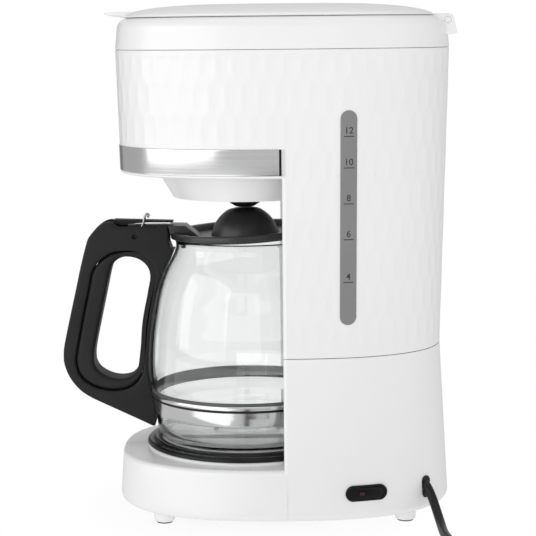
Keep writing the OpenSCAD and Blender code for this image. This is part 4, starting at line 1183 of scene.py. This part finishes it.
LID_SECTION = [(0, 206.1), (4, 206.0), (7, 205.8), (9.5, 205.3), (11.8, 204.4), (14.6, 202.5),
               (17.4, 199.9), (19.5, 197.3), (21, 194.8), (22.4, 191.4), (23.6, 187.8), (44.6, 187.6),
               (46.4, 190.4), (48.2, 191.5), (50.9, 191.6), (51.6, 191.2), (51.8, 190.5), (51.8, 187.9),
               (51.4, 187.6), (50.7, 187.6), (50.5, 189.3), (47.2, 189.4), (45.4, 188.4), (44.7, 185.6),
               (22.4, 185.8), (20.6, 190.6), (17.4, 196.4), (14, 199.8), (9, 202.8), (4, 203.9),
               (0, 204)]
LUG_TURNS = (-106, -74, 74, 106)
LUG_R_IN, LUG_R_OUT, LUG_X = 43, 45.2, 2.5
LUG_Z = (181.4, 186.4)
ARM_W = 8.0


def tilt_about_pin(obj, angle):
    pin = Matrix.Translation(metres((0.0, PIN_Y, PIN_Z)))
    obj.data.transform(pin @ Matrix.Rotation(angle, 4, "X") @ pin.inverted())


def jug_lid_piece():
    disc = lathe("jug_lid", LID_SECTION[::-1], smooth_angle=50.0)
    build = Builder()
    for turn in LUG_TURNS:
        a = math.radians(turn)
        out, side = np.array((math.cos(a), math.sin(a))), np.array((-math.sin(a), math.cos(a)))
        base = np.array((0.0, JUG_Y))
        corners = [base + out * r + side * w for r, w in ((LUG_R_IN, -LUG_X), (LUG_R_OUT, -LUG_X),
                                                          (LUG_R_OUT, LUG_X), (LUG_R_IN, LUG_X))]
        build.block(*[[(*c, z) for c in corners] for z in LUG_Z])
    disc = join("jug_lid", [disc, build.make("lugs", 30.0)])
    tilt_about_pin(disc, LID_TILT)
    arm = [(-92.6, 194.6), (-90.5, 189.8), (-86.5, 188.9), (-84.2, 190.4), (-83, 194), (-63, 192.4),
           (-60, 192.4), (-60, 198.2), (-84, 198.4), (-92, 198.2)]
    arm = flat_shape("lid_arm_inner", [arm], ARM_W / 2, 0.4)
    plate = [about_pin(KNUCKLE_R + 0.6, a) for a in (4, 8, 12, 16)]
    plate += [(-62.4, 198.2), (-51.8, 197.9), (-46, 193.4), (-40, 188.8), (-44, 188.8), (-50, 191.6)]
    cheek = flat_shape("lid_cheek", [plate], 11.5, 0.6)
    return join("jug_lid", [disc, arm, cheek])


VALVE = [(0, 210.3), (5.6, 210.3), (6.6, 210.5), (10.2, 212.8), (10.9, 213.8), (10.9, 217.4), (10.5, 218.2),
         (5.9, 218.2), (5.9, 228.4), (8.4, 228.4), (8.4, 230.4), (2, 231.2), (0, 231.2)]
LEVER = [(-102.8, 198.9), (-102.9, 200.6), (-102.2, 201.8), (-100.8, 202.2), (-61, 200.9), (-60.4, 200.4),
         (-60.8, 199.7), (-78, 199.9), (-86, 199.4), (-92, 198.9)]
SPRING_X = 5.4
BAIL = [(-84.8, 192.4), (-82.6, 196.4), (-81, 200), (-80.6, 203.4), (-79.8, 205), (-78.6, 205.1),
        (-77.6, 203.9)]


def spring_piece():
    wire = [(-SPRING_X, y, z) for y, z in BAIL] + [(SPRING_X, y, z) for y, z in BAIL[::-1]]
    bail = tube("lid_bail", wire, 0.7, sides=8)
    rings = []
    for side in (-1, 1):
        path = [(side * SPRING_X, *p) for p in circle(PIN_Y, PIN_Z, 2.1, 28)]
        rings.append(tube("lid_coil", path, 0.48, sides=8, closed=True))
    return join("lid_bail", [bail] + rings)


jug_glass = finish_piece(jug_glass_piece(), GLASS, "jug", ["carafe_glass"])
jug_glass.visible_shadow = False
jug_glass.visible_diffuse = False
finish_piece(jug_band_piece(), STEEL, "jug", ["carafe_band"])
# Dark rings on the jug's band: painted shade along its top edge above the bead, and painted shade in the
# groove under the bead
finish_piece(ring_piece("band_top_shade", 66.3, 66.9, 2.3, 0.0), PAD_RUBBER, "jug")
finish_piece(ring_piece("band_groove_shade", 66.0, 66.8, 6.6, 5.1), BLACK, "jug")
finish_piece(glowing_lining_piece(), GLOWING_LINING, "jug")
# A dark ring on the inside of the band, seen through the glass: painted shade
finish_piece(ring_piece("band_inside_shade", 65.2, 65.5, 8.3, 0.1), PAD_RUBBER, "jug")
HANDLE_FRAME, HANDLE_GRIP = handle_pieces()
finish_piece(HANDLE_FRAME, BLACK, "jug", ["carafe_handle"])
finish_piece(HANDLE_GRIP, BLACK, "jug", ["carafe_handle"])
finish_piece(handle_edge_shade_piece(), PAD_RUBBER, "jug")
finish_piece(jug_lid_piece(), LID_BLACK, "jug_lid", ["carafe_lid"])
finish_piece(flat_shape("jug_lever", [LEVER], (ARM_W + 1) / 2, 0.3), BLACK, "jug_lid",
             ["thumb_lever"])
finish_piece(lathe("valve_boot", VALVE, smooth_angle=40.0), BLACK, "drip_stop",
             ["drip_valve"])
finish_piece(spring_piece(), PLAIN_STEEL, "jug_lid", ["lid_spring"])


# ---------------------------------------------------------------- light and floor
def area_light(name, at, towards, size, power, size_y=None):
    data = bpy.data.lights.new(name, "AREA")
    data.shape = "RECTANGLE"
    data.size = size
    data.size_y = size_y or size
    data.energy = power
    light = bpy.data.objects.new(name, data)
    light.location = at
    light.rotation_euler = (Vector(towards) - Vector(at)).to_track_quat("-Z", "Y").to_euler()
    scene.collection.objects.link(light)
    return light


# How bright the surroundings are for the camera, and for mirrored, soft and refracted light
BACKGROUND, MIRRORED, SOFT, THROUGH = 1.0, 0.62, 0.6, 0.86


def ray_strength(tree, soft):
    """A brightness that depends on what kind of ray looks."""
    paths = tree.nodes.new("ShaderNodeLightPath")
    source = None
    for ray, strength in (("Glossy", MIRRORED), ("Diffuse", soft), ("Transmission", THROUGH)):
        mixer = tree.nodes.new("ShaderNodeMix")
        mixer.inputs["A"].default_value = BACKGROUND
        mixer.inputs["B"].default_value = strength
        tree.links.new(paths.outputs["Is %s Ray" % ray], mixer.inputs["Factor"])
        if source:
            tree.links.new(source, mixer.inputs["A"])
        source = mixer.outputs["Result"]
    return source


def light_world():
    world = bpy.data.worlds.new("world")
    world.use_nodes = True
    scene.world = world
    tree = world.node_tree
    background = tree.nodes["Background"]
    background.inputs["Color"].default_value = (1.0, 1.0, 1.0, 1.0)
    tree.links.new(ray_strength(tree, SOFT), background.inputs["Strength"])


def card(name, corners, shade, glow=0.0):
    """A card outside the picture, which only the mirroring surfaces show."""
    obj = make_mesh(name, corners, [tuple(range(len(corners)))], None)
    obj.data.materials.append(shader(name, (shade, shade, shade), 1.0, Emission_Color=(1.0, 1.0, 1.0, 1.0),
                                     Emission_Strength=glow))
    obj.visible_camera = False
    obj.visible_diffuse = False
    obj.visible_shadow = False


# The floor takes a share of shadow up to these distances in metres, and none beyond
SHADOW_FULL, SHADOW_END, GLOW_MIN = 0.04, 0.13, 0.75


def floor():
    """A white floor that takes a soft shadow close to the object."""
    material = bpy.data.materials.new("floor")
    material.use_nodes = True
    material.node_tree.nodes.clear()
    out = node(material, "ShaderNodeOutputMaterial")
    diffuse = node(material, "ShaderNodeBsdfDiffuse", Color=(0.9, 0.9, 0.9, 1.0))
    glow = node(material, "ShaderNodeEmission")
    mixer = node(material, "ShaderNodeMixShader")
    place = node(material, "ShaderNodeTexCoord")
    length = node(material, "ShaderNodeVectorMath", operation="LENGTH")
    spread = node(material, "ShaderNodeMapRange", From_Min=SHADOW_FULL, From_Max=SHADOW_END,
                  To_Min=GLOW_MIN)
    for source, target in (
            (ray_strength(material.node_tree, BACKGROUND), glow.inputs["Strength"]),
            (place.outputs["Object"], length.inputs[0]), (length.outputs["Value"], spread.inputs["Value"]),
            (spread.outputs["Result"], mixer.inputs["Fac"]), (diffuse.outputs["BSDF"], mixer.inputs[1]),
            (glow.outputs["Emission"], mixer.inputs[2]), (mixer.outputs["Shader"], out.inputs["Surface"])):
        link(material, source, target)
    far = 9000
    plane = make_mesh("floor", [(-far, -far, 0), (far, -far, 0), (far, far, 0), (-far, far, 0)],
                      [(0, 1, 2, 3)], None)
    plane.data.materials.append(material)


light_world()
floor()
card("card_rear", [(-1500, -470, 0), (-1500, -1900, 0), (-1500, -1900, 1200), (-1500, -470, 1200)], 0.2)
card("card_front", [(-60, -1600, 0), (-1390, -1000, 0), (-1390, -1000, 1200), (-60, -1600, 1200)], 0.5)
card("card_near", [(95, JUG_Y - 4, 1), (1300, JUG_Y - 36, 1), (1300, JUG_Y + 84, 1), (95, JUG_Y + 5, 1)],
     0.02)
card("card_bright", [(105, -45, 1), (105, -240, 1), (5, -290, 1), (40, -1250, 1), (650, -1100, 1),
                     (1150, -560, 1), (1200, -200, 1)], 0.0, 1.35)
fill = area_light("fill", (2.2, -0.15, 0.4), (0.0, 0.0, 0.12), 1.8, 18.0)
fill.visible_glossy = False
mirrored = area_light("mirrored", (0.92, -1.31, 0.62), (0.0, 0.0, 0.2), 2.05, 11.3, 1.25)
mirrored.visible_diffuse = False
front = area_light("front", (0.1, -1.7, 0.5), (0.0, 0.0, 0.2), 0.9, 4.2)
front.visible_glossy = False
area_light("top", (0.1, 0.1, 1.6), (0.0, 0.0, 0.2), 1.2, 3.5)

scene.render.resolution_x = 1072
scene.render.resolution_y = 1072
scene.view_settings.view_transform = "Standard"
